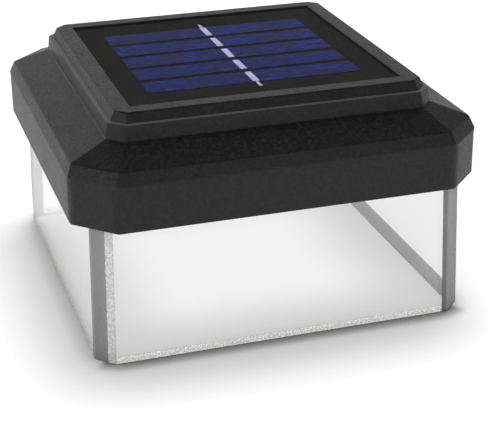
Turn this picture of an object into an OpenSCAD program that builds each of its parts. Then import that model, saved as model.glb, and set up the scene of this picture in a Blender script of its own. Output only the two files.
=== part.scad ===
// Solar light for the top of a square deck post.
// A black cap with a solar panel in its roof stands on a clear, open-bottomed skirt that slips over
// the post. Light from small LEDs enters the skirt's top edge and shows at its frosted edges.
// Z is up. The origin is the centre of the skirt's bottom rim. The front of the light looks to -Y.

/* [Post and skirt] */
// Width of the square post sleeve that the skirt slips over
post_w = 101.6; // [90:0.1:127]
// Gap between post and skirt on each side, at the skirt's top
post_gap = 1; // [0.5:0.1:3]
// Wall thickness of the clear skirt
skirt_t = 2.8; // [2:0.1:4]
// Height of the skirt that shows under the cap
skirt_show = 41.4; // [30:0.1:80]
// How much further out each skirt wall stands at the bottom than at the top
skirt_flare = 1.1; // [0:0.1:2]
// Leg of the skirt's cut corners, outside
skirt_corner = 4.8; // [3.5:0.1:8]
// Leg of the skirt's cut corners, inside
skirt_inner_corner = 1.9; // [1:0.1:3]
// Width of the four ears that hold the skirt
ear_w = 14; // [10:0.5:20]
// Depth of the ears, from the skirt's wall inwards
ear_depth = 10; // [9:0.5:14]
// Thickness of the ears; the post's top stops against them
ear_t = 4; // [3.2:0.1:6]

/* [Cap] */
// Space between skirt and cap wall on each side
cap_space = 3; // [2:0.1:6]
// Wall thickness of the cap
cap_t = 2.4; // [1.8:0.1:3]
// Leg of the cap's cut corners
cap_corner = 11; // [8:0.1:16]
// Radius of the cap's upright edges
edge_r = 2; // [0.5:0.1:4]
// Height of the upright wall
wall_h = 13.4; // [12.5:0.1:25]
// Height of the bevel over the wall
bevel_h = 3.7; // [2:0.1:6]
// How far the bevel leans in
bevel_in = 1.5; // [0.5:0.1:3]
// Height of the shallow slope
slope_h = 4.2; // [3:0.1:10]
// Horizontal run of the shallow slope
slope_run = 10.7; // [6:0.1:14]
// Leg of the platform's cut corners
plat_corner = 4.3; // [3:0.1:8]
// Height of the platform's wall
plat_wall_h = 4.6; // [3.5:0.1:8]
// How far the platform's wall leans in
plat_lean = 0.5; // [0:0.1:1]
// Height of the platform's bevel
plat_bevel_h = 2.7; // [1:0.1:4]
// How far the platform's bevel leans in
plat_bevel_in = 2.5; // [1:0.1:4]
// Thickness of the roof under the panel
roof_t = 2.1; // [1.5:0.1:2.6]
// Diameter of the screw bosses inside the cap
boss_d = 7; // [6:0.1:9]

/* [Solar panel] */
// Flat rim between the platform's bevel and the panel
rim_w = 4.9; // [3:0.1:10]
// Gap round the panel
panel_gap = 0.2; // [0.1:0.05:0.5]
// How far the panel's top lies under the rim
panel_sink = 0.3; // [0:0.1:1]
// Thickness of the adhesive pad under the panel
pad_t = 0.5; // [0.3:0.1:1]
// Thickness of the panel's board
panel_t = 1.6; // [1:0.1:2]
// Thickness of the clear resin over the board
resin_t = 0.6; // [0.5:0.05:1]
// Number of cell strips
strips = 5; // [2:1:8]
// Gap between cell strips
strip_gap = 1.9; // [0.5:0.1:4]
// Thickness of a cell strip
cell_t = 0.25; // [0.15:0.05:0.3]
// Bare border of the board beside the cell strips
cell_side = 7.6; // [3:0.1:12]
// Bare border of the board in front of the cell strips and behind them
cell_end = 10.6; // [6:0.1:14]
// Width of the contact pad on each strip
ribbon_w = 1.9; // [1:0.1:3]
// Length of strip left bare at each end of its contact pad
ribbon_inset = 0.7; // [0.2:0.1:2]
// Width of the thin ribbon that leaves the first and the last pad
tail_w = 0.8; // [0.5:0.1:1.5]
// Length of each thin ribbon past the cells
tail_l = 3.4; // [2:0.1:5]
// Thickness of pads and ribbons
ribbon_t = 0.1; // [0.05:0.05:0.2]
// Diameter of the solder joint at each ribbon's end
solder_d = 1.5; // [1:0.1:2]
// Diameter of the hole for the panel's wires
wire_hole_d = 8; // [6:0.5:12]

/* [Chassis] */
// Height of the chassis' underside above the cap's bottom edge
chassis_lift = 4.6; // [4.2:0.1:8]
// Thickness of the chassis plate
chassis_t = 2.4; // [2:0.1:3]
// Gap between the chassis plate and the cap wall
chassis_gap = 0.3; // [0.2:0.05:0.6]
// Thickness of the gasket between chassis and cap
gasket_t = 1; // [0.6:0.1:1.5]
// Width of the gasket
gasket_w = 1.3; // [1:0.1:2]
// Height of the screw bosses on the chassis
post_boss_h = 6; // [4:0.5:8]
// Diameter of the screw bosses on the chassis
post_boss_d = 6.4; // [5.6:0.1:8]

/* [Battery] */
// Diameter of the round cell
cell_d = 14.5; // [10.5:0.1:14.5]
// Length of the round cell with its nub
cell_l = 50.5; // [44.5:0.1:50.5]
// Space round the cell
bay_gap = 0.8; // [0.5:0.1:1.5]
// Wall thickness of the battery box
bay_t = 1.5; // [1.2:0.1:2]
// Distance of the battery bay's centre behind the middle of the light
bay_y = 8; // [5:0.5:14]
// Thickness of the contact plates
contact_t = 0.4; // [0.3:0.1:0.6]
// Length of the negative spring with the cell in place
spring_l = 6; // [5:0.1:8]
// Wire diameter of the spring
spring_wire = 0.7; // [0.5:0.1:0.8]
// Turns of the spring
spring_turns = 4; // [3:1:4]

/* [Battery door] */
// Thickness of the battery door
door_t = 1.8; // [1.5:0.1:2.2]
// Thickness of the door's gasket
door_gasket_t = 0.5; // [0.3:0.1:0.8]
// Overlap of the door over the chassis, beside the bay's opening
door_lap = 2.8; // [2:0.1:4]
// Thickness of the door's two cradles
cradle_t = 3; // [2:0.5:5]

/* [Circuit] */
// Length of the circuit board
board_l = 44; // [36:0.5:50]
// Width of the circuit board
board_w = 22; // [20:0.5:24]
// Thickness of the circuit board
board_t = 1.2; // [0.8:0.1:1.6]
// Height of the board over the chassis plate
board_lift = 3; // [2.6:0.1:4]
// Gap between the circuit board and the battery bay
board_gap = 3; // [2:0.5:6]
// Number of LEDs along each side
leds_per_side = 4; // [2:1:6]
// Distance between LEDs
led_pitch = 19; // [10:0.5:22]
// Width of the LED boards
led_board_w = 5; // [4.2:0.1:5.4]
// Thickness of the LED boards
led_board_t = 1; // [0.8:0.1:1.2]
// Thickness of the wires
wire_d = 1.2; // [0.8:0.1:1.4]

/* [Switch] */
// Width of the switch's body
switch_w = 10; // [9:0.5:12]
// Height of the switch's body
switch_h = 7; // [6.6:0.1:9]
// Diameter of the button
button_d = 6; // [5.4:0.1:7]
// How far the button stands out under the chassis
button_out = 1.8; // [1.6:0.1:2.4]
// Travel of the button
button_travel = 1.5; // [1:0.1:1.5]

/* [Screws] */
// Diameter of the case screws' shank
screw_d = 2.9; // [2.5:0.1:3]
// Diameter of the case screws' head
head_d = 5.4; // [5:0.1:5.8]
// Height of the case screws' head
head_h = 1.7; // [1.4:0.1:1.8]
// Length of the case screws under the head
screw_l = 8; // [6:0.5:9]
// Diameter of the small screws' shank on board and door
small_screw_d = 2.2; // [1.8:0.1:2.5]
// Diameter of the small screws' head
small_head_d = 4; // [3.6:0.1:4.4]
// Height of the small screws' head
small_head_h = 1.2; // [1:0.1:1.4]

/* [Hidden] */
$fn = 48;
eps = 0.01;

black = [0.06, 0.06, 0.065];
board_green = [0.08, 0.3, 0.16];
steel = [0.72, 0.72, 0.74];

// Skirt: half widths of its outside and inside, at its top and its bottom
skirt_in_top = post_w/2 + post_gap;
skirt_out_top = skirt_in_top + skirt_t;
skirt_out_low = skirt_out_top + skirt_flare;
skirt_in_low = skirt_in_top + skirt_flare;
skirt_mid = skirt_out_top - skirt_t/2;

// Heights
cap_z = skirt_show;
wall_z = cap_z + wall_h;
bevel_z = wall_z + bevel_h;
slope_z = bevel_z + slope_h;
plat_z = slope_z + plat_wall_h;
top_z = plat_z + plat_bevel_h;
chassis_z = cap_z + chassis_lift;
deck_z = chassis_z + chassis_t;
pad_z = top_z - panel_sink - resin_t - panel_t - pad_t;
panel_z = pad_z + pad_t;
cell_z = panel_z + panel_t;
ribbon_z = cell_z + cell_t;
roof_z = pad_z - roof_t;

// Cap: half widths from the bottom up, and the same measured across the cut corners
cap_in = skirt_out_top + cap_space;
cap_half = cap_in + cap_t;
bevel_half = cap_half - bevel_in;
plat_half = bevel_half - slope_run;
plat_top_half = plat_half - plat_lean;
rim_half = plat_top_half - plat_bevel_in;
panel_half = rim_half - rim_w - panel_gap;
plat_in = plat_half - cap_t;
cap_diag = across(cap_half, cap_corner);
bevel_diag = across(bevel_half, cap_corner);
plat_diag = across(plat_half, plat_corner);
plat_top_diag = across(plat_top_half, plat_corner);
rim_diag = across(rim_half, plat_corner - plat_bevel_in*(2 - sqrt(2)));

// Length of the prisms that a tower is cut from, well over its widest diagonal
tower_strip_l = 4*cap_half;

// Step inside the cap wall that the gasket presses on
gasket_gap = 0.1;
step_z = deck_z + gasket_t;
step_in = gasket_w + 2*gasket_gap;

// Clearances: screw in its thread, screw through a plate, piece in its pocket
slip = 0.05;
pass = 0.25;
pocket_gap = 0.2;

// Screw places
boss_space = 0.9;
boss_at = plat_in - boss_d/2 - boss_space;
ear_hole = skirt_in_top - 0.55*ear_depth;
head_sink = 0.3;
counterbore = head_h + head_sink;

// Solar panel
strip_l = 2*(panel_half - cell_side);
strip_w = (2*(panel_half - cell_end) - (strips - 1)*strip_gap)/strips;
strip_pitch = strip_w + strip_gap;
cells_end = panel_half - cell_end;

// Battery bay, and the box that closes it above the chassis plate
bay_w = cell_d + 2*bay_gap;
bay_l = cell_l + 2*contact_t + spring_l;
cell_lift = 0.5;
cell_head = 0.3;
cell_axis_z = chassis_z + cell_lift + cell_d/2;
bay_top = cell_axis_z + cell_d/2 + cell_head;
bay_roof = bay_top + bay_t;
cell_low_x = -bay_l/2 + contact_t + spring_l;
foot_w = 1.6;
foot_t = 1.2;
nub_l = 1;
nub_d = 5.5;
sleeve_t = 0.15;

// Contact plates, their tabs through the box's end walls, and the spring
contact_w = 12;
contact_h = 13.5;
tab_w = 2.6;
tab_out = 1.1;
tab_y = bay_y - contact_w/2 + tab_w/2;
tab_end = bay_l/2 + bay_t + tab_out;
spring_d = 9;
spring_narrow = 1.2;

// Battery door
door_boss_gap = 0.4;
door_screw_x = bay_l/2 + bay_t + post_boss_d/2 + door_boss_gap;
door_end = 4.2;
door_r = 4;
door_l = 2*(door_screw_x + door_end);
door_w = bay_w + 2*door_lap;
door_top = chassis_z - door_gasket_t;
door_z = door_top - door_t;
door_screw_l = 9;
door_gasket_in = 0.5;

// Circuit board
board_y = bay_y - bay_w/2 - bay_t - board_gap - board_w/2;
board_x = -8;
board_z = deck_z + board_lift;
board_top = board_z + board_t;
board_hole = 3;
board_screw_l = 4;
board_boss_d = 5;

// Places of the board's parts, from its middle
chip_at = [-8, 2];
coil_at = [-1, -4];
capacitor_at = [8, 3];
resistor_at = [8, -5];

// Solder places on the board: distance from its edge, and from its ends for the battery's wires
pad_edge = 3;
pad_end = board_hole + small_head_d;
pad_back = board_y + board_w/2 - pad_edge;
pad_front = board_y - board_w/2 + pad_edge;

// Wires: straight lead at each end, and half the distance between two wires of a pair
wire_lead = 2*wire_d;
wire_apart = 1.3;

// LED boards, along each wall of the skirt
led_end = 13;
led_l = (leds_per_side - 1)*led_pitch + 2*led_end;
led_size = [3.5, 2.8, 0.8];
led_lens_d = 2;
window_gap = 0.5;

// Switch: its body stands in a fence on the chassis, over the button's hole
fence_t = 1.2;
fence_h = 3;
switch_space = 4;
switch_x = board_x + board_l/2 + switch_space + switch_w/2 + fence_t;
switch_y = board_y;
stem_d = 4;
button_gap = 0.3;
button_low = chassis_z - button_out;
button_high = deck_z - button_travel - pocket_gap;
switch_top_t = 1.5;
chamber_top = deck_z + switch_h - switch_top_t;
stem_top = chamber_top - button_travel - pocket_gap;

// Distance across a square's cut corner, from its centre
function across(half, leg) = (2*half - leg)/sqrt(2);
// Leg of the corner cut that gives a distance across
function leg_of(half, diag) = 2*half - diag*sqrt(2);

// Corner of a cut square between side k and side k + 1, counted round from +X
function side_at(k, half, leg) = k % 2 == 0 ? half : across(half, leg);
function facing(k) = [cos(45*k), sin(45*k)];
function along(k) = [-sin(45*k), cos(45*k)];
function vertex(k, half, leg) = facing(k)*side_at(k, half, leg)
    + along(k)*(side_at(k + 1, half, leg) - side_at(k, half, leg)*cos(45))/sin(45);

// Square with cut corners
module cut_square(half, leg) {
    polygon([for (k = [0:7]) vertex(k, half, leg)]);
}

// Square with cut corners whose eight corners are rounded
module soft_cut_square(half, leg, r) {
    small = half - r;
    small_leg = leg_of(small, across(half, leg) - r);
    polygon([for (k = [0:7]) for (s = [0, 1]) vertex(k, small, small_leg) + r*facing(k + s)]);
    for (k = [0:7])
        translate(vertex(k, small, small_leg))
            circle(r);
}

// Prism along Y whose section is given by half widths at heights, [half, z], from the bottom up
module strip(side, length) {
    rotate([90, 0, 0])
        translate([0, 0, -length/2])
            linear_extrude(length)
                polygon(concat(side, [for (i = [len(side) - 1:-1:0]) [-side[i][0], side[i][1]]]));
}

// Solid whose every level is a square with cut corners: half widths of the sides and of the corners
module cut_tower(side, corner) {
    intersection() {
        strip(side, tower_strip_l);
        rotate([0, 0, 90])
            strip(side, tower_strip_l);
        rotate([0, 0, 45])
            strip(corner, tower_strip_l);
        rotate([0, 0, -45])
            strip(corner, tower_strip_l);
    }
}

// Height of the cap's inner slope at a half width, where its outer slope runs from "from" to "to"
function under_slope(half, from, to) = bevel_z + (from - half)*slope_h/(from - to)
    - cap_t/cos(atan(slope_h/(from - to)));

// Plate with round corners, centred
module round_plate(length, width, r, h) {
    translate([-length/2 + r, -width/2, 0])
        cube([length - 2*r, width, h]);
    translate([-length/2, -width/2 + r, 0])
        cube([length, width - 2*r, h]);
    for (x = [-1, 1])
        for (y = [-1, 1])
            translate([x*(length/2 - r), y*(width/2 - r), 0])
                cylinder(r = r, h = h);
}

module block(size, at) {
    translate([at[0] - size[0]/2, at[1] - size[1]/2, at[2]])
        cube(size);
}

module rod(d, h, at) {
    translate(at)
        cylinder(d = d, h = h);
}

// The four corners of a rectangle
module at_corners(x, y) {
    for (sx = [-1, 1])
        for (sy = [-1, 1])
            translate([sx*x, sy*y, 0])
                children();
}

// Once for each side of the light: front, right, back, left
module on_side(side) {
    rotate([0, 0, 90*side])
        children();
}

// Pan-head screw that points up, its head's seat at z = 0
module pan_screw(d, l, hd, hh) {
    slot_w = 0.22*hd;
    difference() {
        union() {
            cylinder(d = d, h = l);
            translate([0, 0, -hh])
                cylinder(d = hd, h = hh);
        }
        for (a = [0, 90])
            rotate([0, 0, a])
                block([0.62*hd, slot_w, 0.55*hh], [0, 0, -hh - eps]);
    }
}

// Smooth curve through points: n steps to each span
function pick(p, i) = p[max(0, min(len(p) - 1, i))];
function blend(a, b, c, d, t) = 0.5*(2*b + (c - a)*t + (2*a - 5*b + 4*c - d)*t*t
    + (3*b - 3*c + d - a)*t*t*t);
function curve(p, n) = concat([for (i = [0:len(p) - 2]) for (k = [0:n - 1])
    blend(pick(p, i - 1), p[i], p[i + 1], pick(p, i + 2), k/n)], [p[len(p) - 1]]);
function unit(v) = v/norm(v);
function heading(p, i) = i == 0 ? unit(p[1] - p[0])
    : i == len(p) - 1 ? unit(p[i] - p[i - 1])
    : unit(unit(p[i] - p[i - 1]) + unit(p[i + 1] - p[i]));
// A side vector square to each heading, carried along the path without twisting
function square_to(v, h) = unit(v - h*(v*h));
function frames(p, i, v) = i == len(p) ? []
    : let (side = square_to(v, heading(p, i))) concat([side], frames(p, i + 1, side));

// Round tube along a path
module tube(path, d, sides = 6) {
    first = heading(path, 0);
    guess = abs(first[2]) > 0.8 ? [1, 0, 0] : [0, 0, 1];
    side = frames(path, 0, guess);
    n = len(path);
    rings = [for (i = [0:n - 1]) let (h = heading(path, i), u = side[i], w = cross(h, u))
        for (k = [0:sides - 1]) path[i] + d/2*(cos(360*k/sides)*u + sin(360*k/sides)*w)];
    walls = [for (i = [0:n - 2]) for (k = [0:sides - 1]) let (m = (k + 1) % sides)
        [i*sides + m, i*sides + k, (i + 1)*sides + k, (i + 1)*sides + m]];
    low = [for (k = [0:sides - 1]) k];
    high = [for (k = [sides - 1:-1:0]) (n - 1)*sides + k];
    polyhedron(rings, concat(walls, [low, high]));
}

// Wire through points, straight and square to what it meets for one diameter at each end
module wire(points, d = wire_d) {
    last = len(points) - 1;
    start = points[0] + d*unit(points[1] - points[0]);
    end = points[last] + d*unit(points[last - 1] - points[last]);
    middle = [for (i = [1:last - 1]) points[i]];
    tube(concat([points[0]], curve(concat([start], middle, [end]), 3), [points[last]]), d);
}

// ---- Cap and solar panel ----

module cap_shell() {
    step_half = cap_in - step_in;
    inner_diag = cap_diag - cap_t;
    step_diag = inner_diag - step_in;
    plat_in_diag = plat_diag - cap_t;
    color(black)
        difference() {
            intersection() {
                cut_tower(
                    [[cap_half, cap_z], [cap_half, wall_z], [bevel_half, bevel_z], [plat_half, slope_z],
                        [plat_top_half, plat_z], [rim_half, top_z]],
                    [[cap_diag, cap_z], [cap_diag, wall_z], [bevel_diag, bevel_z], [plat_diag, slope_z],
                        [plat_top_diag, plat_z], [rim_diag, top_z]]);
                translate([0, 0, cap_z])
                    linear_extrude(top_z - cap_z)
                        soft_cut_square(cap_half, cap_corner, edge_r);
            }
            difference() {
                cut_tower(
                    [[cap_in, cap_z - 1], [cap_in, step_z], [step_half, step_z],
                        [step_half, under_slope(step_half, bevel_half, plat_half)],
                        [plat_in, under_slope(plat_in, bevel_half, plat_half)], [plat_in, roof_z]],
                    [[inner_diag, cap_z - 1], [inner_diag, step_z], [step_diag, step_z],
                        [step_diag, under_slope(step_diag, bevel_diag, plat_diag)],
                        [plat_in_diag, under_slope(plat_in_diag, bevel_diag, plat_diag)],
                        [plat_in_diag, roof_z]]);
                at_corners(boss_at, boss_at)
                    rod(boss_d, top_z, [0, 0, deck_z]);
            }
            at_corners(boss_at, boss_at)
                rod(screw_d + 2*slip, screw_l, [0, 0, deck_z - eps]);
            block([2*(panel_half + panel_gap), 2*(panel_half + panel_gap), top_z], [0, 0, pad_z]);
            rod(wire_hole_d, roof_t + 2, [board_x, board_y, roof_z - 1]);
        }
}

module panel_pad() {
    color([0.2, 0.2, 0.21])
        difference() {
            block([2*panel_half, 2*panel_half, pad_t], [0, 0, pad_z]);
            rod(wire_hole_d, pad_t + 2, [board_x, board_y, pad_z - 1]);
        }
}

module panel_board() {
    color([0.05, 0.05, 0.05])
        block([2*panel_half, 2*panel_half, panel_t], [0, 0, panel_z]);
}

// Middle of a cell strip, counted from the front
function strip_y(i) = -cells_end + strip_w/2 + i*strip_pitch;

module solar_cells() {
    color([0.1, 0.12, 0.42])
        for (i = [0:strips - 1])
            block([strip_l, strip_w, cell_t], [0, strip_y(i), cell_z]);
}

module cell_ribbons() {
    color([0.75, 0.75, 0.86])
        for (i = [0:strips - 1])
            block([ribbon_w, strip_w - 2*ribbon_inset, ribbon_t], [0, strip_y(i), ribbon_z]);
    color([0.75, 0.75, 0.7])
        for (s = [-1, 1]) {
            block([tail_w, tail_l, cell_t + ribbon_t], [0, s*(cells_end + tail_l/2), cell_z]);
            block([tail_w, ribbon_inset, ribbon_t], [0, s*(cells_end - ribbon_inset/2), ribbon_z]);
            rod(solder_d, cell_t + 2*ribbon_t, [0, s*(cells_end + tail_l), cell_z]);
        }
}

module panel_resin() {
    color([0.9, 0.9, 0.95, 0.3])
        difference() {
            block([2*panel_half, 2*panel_half, resin_t], [0, 0, cell_z]);
            solar_cells();
            cell_ribbons();
        }
}

// ---- Chassis ----

// Places of the screws that hold the skirt, one over each ear
module at_ears() {
    for (side = [0:3])
        on_side(side)
            translate([0, -ear_hole, 0])
                children();
}

module at_door_screws() {
    for (s = [-1, 1])
        translate([s*door_screw_x, bay_y, 0])
            children();
}

// Place of an LED along its board
function led_x(i) = (i - (leds_per_side - 1)/2)*led_pitch;

module at_board_screws() {
    translate([board_x, board_y, 0])
        at_corners(board_l/2 - board_hole, board_w/2 - board_hole)
            children();
}

module chassis() {
    plate_half = cap_in - chassis_gap;
    plate_diag = cap_diag - cap_t - chassis_gap;
    pilot = screw_d + 2*slip;
    small_pilot = small_screw_d + 2*slip;
    fence_w = switch_w + 2*(fence_t + pocket_gap);
    color(black)
        difference() {
            union() {
                translate([0, 0, chassis_z])
                    linear_extrude(chassis_t)
                        cut_square(plate_half, leg_of(plate_half, plate_diag));
                at_ears()
                    rod(post_boss_d, chassis_t + post_boss_h, [0, 0, chassis_z]);
                at_door_screws()
                    rod(post_boss_d, chassis_t + post_boss_h + 1, [0, 0, chassis_z]);
                at_board_screws()
                    rod(board_boss_d, chassis_t + board_lift, [0, 0, chassis_z]);
                block([fence_w, fence_w, chassis_t + fence_h], [switch_x, switch_y, chassis_z]);
            }
            block([bay_l, bay_w, chassis_t + 2], [0, bay_y, chassis_z - 1]);
            at_ears()
                rod(pilot, screw_l, [0, 0, chassis_z - eps]);
            at_door_screws()
                rod(small_pilot, door_screw_l, [0, 0, chassis_z - eps]);
            at_board_screws()
                rod(small_pilot, chassis_t + board_lift, [0, 0, chassis_z + 1]);
            at_corners(boss_at, boss_at)
                rod(screw_d + 2*pass, chassis_t + 2, [0, 0, chassis_z - 1]);
            block([switch_w + 2*pocket_gap, switch_w + 2*pocket_gap, fence_h + 1],
                [switch_x, switch_y, deck_z]);
            rod(button_d + 2*button_gap, chassis_t + 2, [switch_x, switch_y, chassis_z - 1]);
            for (side = [0:3])
                on_side(side)
                    for (i = [0:leds_per_side - 1])
                        block([led_size[0] + 2*window_gap, led_size[1] + 2*window_gap, chassis_t + 2],
                            [led_x(i), -skirt_mid, chassis_z - 1]);
        }
}

module chassis_gasket() {
    outer = cap_in - gasket_gap;
    outer_diag = cap_diag - cap_t - gasket_gap;
    color([0.3, 0.3, 0.32])
        translate([0, 0, deck_z])
            linear_extrude(gasket_t)
                difference() {
                    cut_square(outer, leg_of(outer, outer_diag));
                    cut_square(outer - gasket_w, leg_of(outer - gasket_w, outer_diag - gasket_w));
                }
}

module chassis_screws() {
    color(steel)
        at_corners(boss_at, boss_at)
            translate([0, 0, chassis_z])
                pan_screw(screw_d, screw_l, head_d, head_h);
}

// ---- Skirt ----

module clear_skirt() {
    low = across(skirt_out_low, skirt_corner);
    low_in = across(skirt_in_low, skirt_inner_corner);
    rise = skirt_flare/chassis_z;
    color([0.9, 0.93, 0.95, 0.35])
        difference() {
            union() {
                difference() {
                    cut_tower([[skirt_out_low, 0], [skirt_out_top, chassis_z]],
                        [[low, 0], [low - sqrt(2)*skirt_flare, chassis_z]]);
                    cut_tower([[skirt_in_low + rise, -1], [skirt_in_top - rise, chassis_z + 1]],
                        [[low_in + sqrt(2)*rise, -1],
                            [low_in - sqrt(2)*(skirt_flare + rise), chassis_z + 1]]);
                }
                for (side = [0:3])
                    on_side(side)
                        block([ear_w, ear_depth + skirt_t/2, ear_t],
                            [0, -skirt_in_top + (ear_depth - skirt_t/2)/2, chassis_z - ear_t]);
            }
            at_ears() {
                rod(screw_d + 2*pass, ear_t + 2, [0, 0, chassis_z - ear_t - 1]);
                rod(head_d + 2*pass, counterbore + 1, [0, 0, chassis_z - ear_t - 1]);
            }
        }
}

module skirt_screws() {
    color(steel)
        at_ears()
            translate([0, 0, chassis_z - ear_t + counterbore])
                pan_screw(screw_d, screw_l, head_d, head_h);
}

// ---- Circuit ----

module circuit_board() {
    color(board_green)
        difference() {
            block([board_l, board_w, board_t], [board_x, board_y, board_z]);
            at_board_screws()
                rod(small_screw_d + 2*pass, board_t + 2, [0, 0, board_z - 1]);
        }
}

module board_screws() {
    color(steel)
        at_board_screws()
            translate([0, 0, board_top])
                mirror([0, 0, 1])
                    pan_screw(small_screw_d, board_screw_l, small_head_d, small_head_h);
}

// Chip with four pairs of feet
module driver_chip() {
    body = [4.9, 3.9, 1.5];
    foot = [0.4, 6, 0.3];
    foot_pitch = 1.27;
    color([0.08, 0.08, 0.08])
        translate([board_x + chip_at[0], board_y + chip_at[1], board_top]) {
            block(body, [0, 0, foot[2]]);
            for (i = [-1.5:1:1.5])
                block(foot, [i*foot_pitch, 0, 0]);
        }
}

// Coil on a core with two flanges
module boost_coil() {
    flange_d = 6;
    flange_t = 1;
    winding_d = 5;
    coil_h = 6;
    color([0.35, 0.2, 0.1])
        translate([board_x + coil_at[0], board_y + coil_at[1], board_top]) {
            cylinder(d = winding_d, h = coil_h);
            cylinder(d = flange_d, h = flange_t);
            rod(flange_d, flange_t, [0, 0, coil_h - flange_t]);
        }
}

// Upright capacitor with the crimp groove round its foot
module capacitor() {
    body_d = 5;
    body_h = 7;
    groove_d = 4.5;
    groove_w = 0.5;
    groove_z = 1.2;
    color([0.1, 0.12, 0.3])
        translate([board_x + capacitor_at[0], board_y + capacitor_at[1], board_top]) {
            cylinder(d = groove_d, h = body_h);
            cylinder(d = body_d, h = groove_z);
            rod(body_d, body_h - groove_z - groove_w, [0, 0, groove_z + groove_w]);
        }
}

// Lying resistor on two legs
module resistor() {
    body_d = 2.2;
    body_l = 6;
    body_z = 1.2;
    leg = 0.6;
    leg_x = 2.4;
    color([0.75, 0.62, 0.4])
        translate([board_x + resistor_at[0], board_y + resistor_at[1], board_top]) {
            translate([-body_l/2, 0, body_z])
                rotate([0, 90, 0])
                    cylinder(d = body_d, h = body_l);
            for (s = [-1, 1])
                block([leg, leg, body_z], [s*leg_x, 0, 0]);
        }
}

module led_board(side) {
    color([0.9, 0.9, 0.88])
        on_side(side)
            block([led_l, led_board_w, led_board_t], [0, -skirt_mid, deck_z]);
}

module led_board_front() {
    led_board(0);
}

module led_board_right() {
    led_board(1);
}

module led_board_back() {
    led_board(2);
}

module led_board_left() {
    led_board(3);
}

module leds(side) {
    color([1, 0.85, 0.4])
        on_side(side)
            for (i = [0:leds_per_side - 1])
                translate([led_x(i), -skirt_mid, deck_z - led_size[2]])
                    difference() {
                        block(led_size, [0, 0, 0]);
                        rod(led_lens_d, led_size[2]/2, [0, 0, -led_size[2]/4]);
                    }
}

module leds_front() {
    leds(0);
}

module leds_right() {
    leds(1);
}

module leds_back() {
    leds(2);
}

module leds_left() {
    leds(3);
}

// ---- Battery ----

module lying(d, length, x) {
    translate([x, bay_y, cell_axis_z])
        rotate([0, 90, 0])
            cylinder(d = d, h = length);
}

// Box over the bay, welded to the chassis plate by its two feet
module battery_box() {
    color(black)
        difference() {
            union() {
                block([bay_l + 2*bay_t, bay_w + 2*bay_t, bay_roof - deck_z], [0, bay_y, deck_z]);
                block([bay_l + 2*bay_t, bay_w + 2*(bay_t + foot_w), foot_t], [0, bay_y, deck_z]);
            }
            block([bay_l, bay_w, bay_top - deck_z + 1], [0, bay_y, deck_z - 1]);
            for (s = [-1, 1])
                block([2*bay_t, tab_w + 2*pocket_gap, contact_t + 2*pocket_gap],
                    [s*(bay_l/2 + bay_t/2), tab_y, cell_axis_z - contact_t/2 - pocket_gap]);
        }
}

// Upright contact plate at one end of the bay, with its solder tab through the box's end wall
module contact(s) {
    tab_l = tab_end - bay_l/2 + contact_t;
    block([contact_t, contact_w, contact_h], [s*(bay_l - contact_t)/2, bay_y, bay_top - contact_h]);
    block([tab_l, tab_w, contact_t], [s*(tab_end - tab_l/2), tab_y, cell_axis_z - contact_t/2]);
}

module positive_contact() {
    color(steel)
        contact(1);
}

module negative_contact() {
    color(steel)
        contact(-1);
}

// Centre line of the negative spring: straight at each end, a narrowing coil between them
coil_steps = 8*spring_turns;
coil_lead = spring_wire;
coil_start = -bay_l/2 + contact_t;
function coil_point(i) = let (f = i/coil_steps, r = (spring_d - spring_wire)/2 - spring_narrow*f)
    [coil_start + coil_lead + f*(spring_l - 2*coil_lead), bay_y + r*cos(45*i), cell_axis_z + r*sin(45*i)];
coil = concat([coil_point(0) - [coil_lead, 0, 0]], [for (i = [0:coil_steps]) coil_point(i)],
    [coil_point(coil_steps) + [coil_lead, 0, 0]]);
coil_gap = min([for (i = [0:len(coil) - 7]) for (k = [i + 6:len(coil) - 1]) norm(coil[i] - coil[k])])
    - spring_wire;
echo(least_gap_between_spring_turns = coil_gap);

module negative_spring() {
    color(steel)
        tube(coil, spring_wire);
}

module battery_can() {
    can_d = cell_d - 2*sleeve_t;
    color(steel) {
        lying(can_d, cell_l - nub_l, cell_low_x);
        lying(nub_d, cell_l, cell_low_x);
    }
}

module battery_sleeve() {
    lip = 0.6;
    color([0.12, 0.35, 0.2])
        difference() {
            lying(cell_d, cell_l - nub_l - 2*lip, cell_low_x + lip);
            lying(cell_d - 2*sleeve_t + 2*eps, cell_l, cell_low_x - 1);
        }
}

module battery_door() {
    cradle_x = cell_l/4;
    cradle_w = bay_w - 2;
    cradle_h = chassis_z + cell_d/4 - door_top;
    cradle_gap = 0.3;
    color(black)
        difference() {
            union() {
                translate([0, bay_y, door_z])
                    round_plate(door_l, door_w, door_r, door_t);
                for (s = [-1, 1])
                    block([cradle_t, cradle_w, door_t + cradle_h], [s*cradle_x, bay_y, door_z]);
            }
            lying(cell_d + 2*cradle_gap, cell_l, cell_low_x);
            at_door_screws()
                rod(small_screw_d + 2*pass, door_t + 2, [0, 0, door_z - 1]);
        }
}

module door_gasket() {
    color([0.3, 0.3, 0.32])
        difference() {
            translate([0, bay_y, door_top])
                round_plate(door_l - 2*door_gasket_in, door_w - 2*door_gasket_in, door_r - door_gasket_in,
                    door_gasket_t);
            block([bay_l, bay_w, 2], [0, bay_y, door_top - 1]);
            at_door_screws()
                rod(small_screw_d + 2*pass, 2, [0, 0, door_top - 1]);
        }
}

module door_screws() {
    color(steel)
        at_door_screws()
            translate([0, 0, door_z])
                pan_screw(small_screw_d, door_screw_l, small_head_d, small_head_h);
}

// ---- Switch ----

// The button's collar, which keeps it in the switch, and the chamber that the collar travels in
stem_gap = 0.08;
collar_d = stem_d + 1.2;
collar_t = 1;
collar_gap = 0.3;
chamber_z = deck_z + 1.2;

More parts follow.
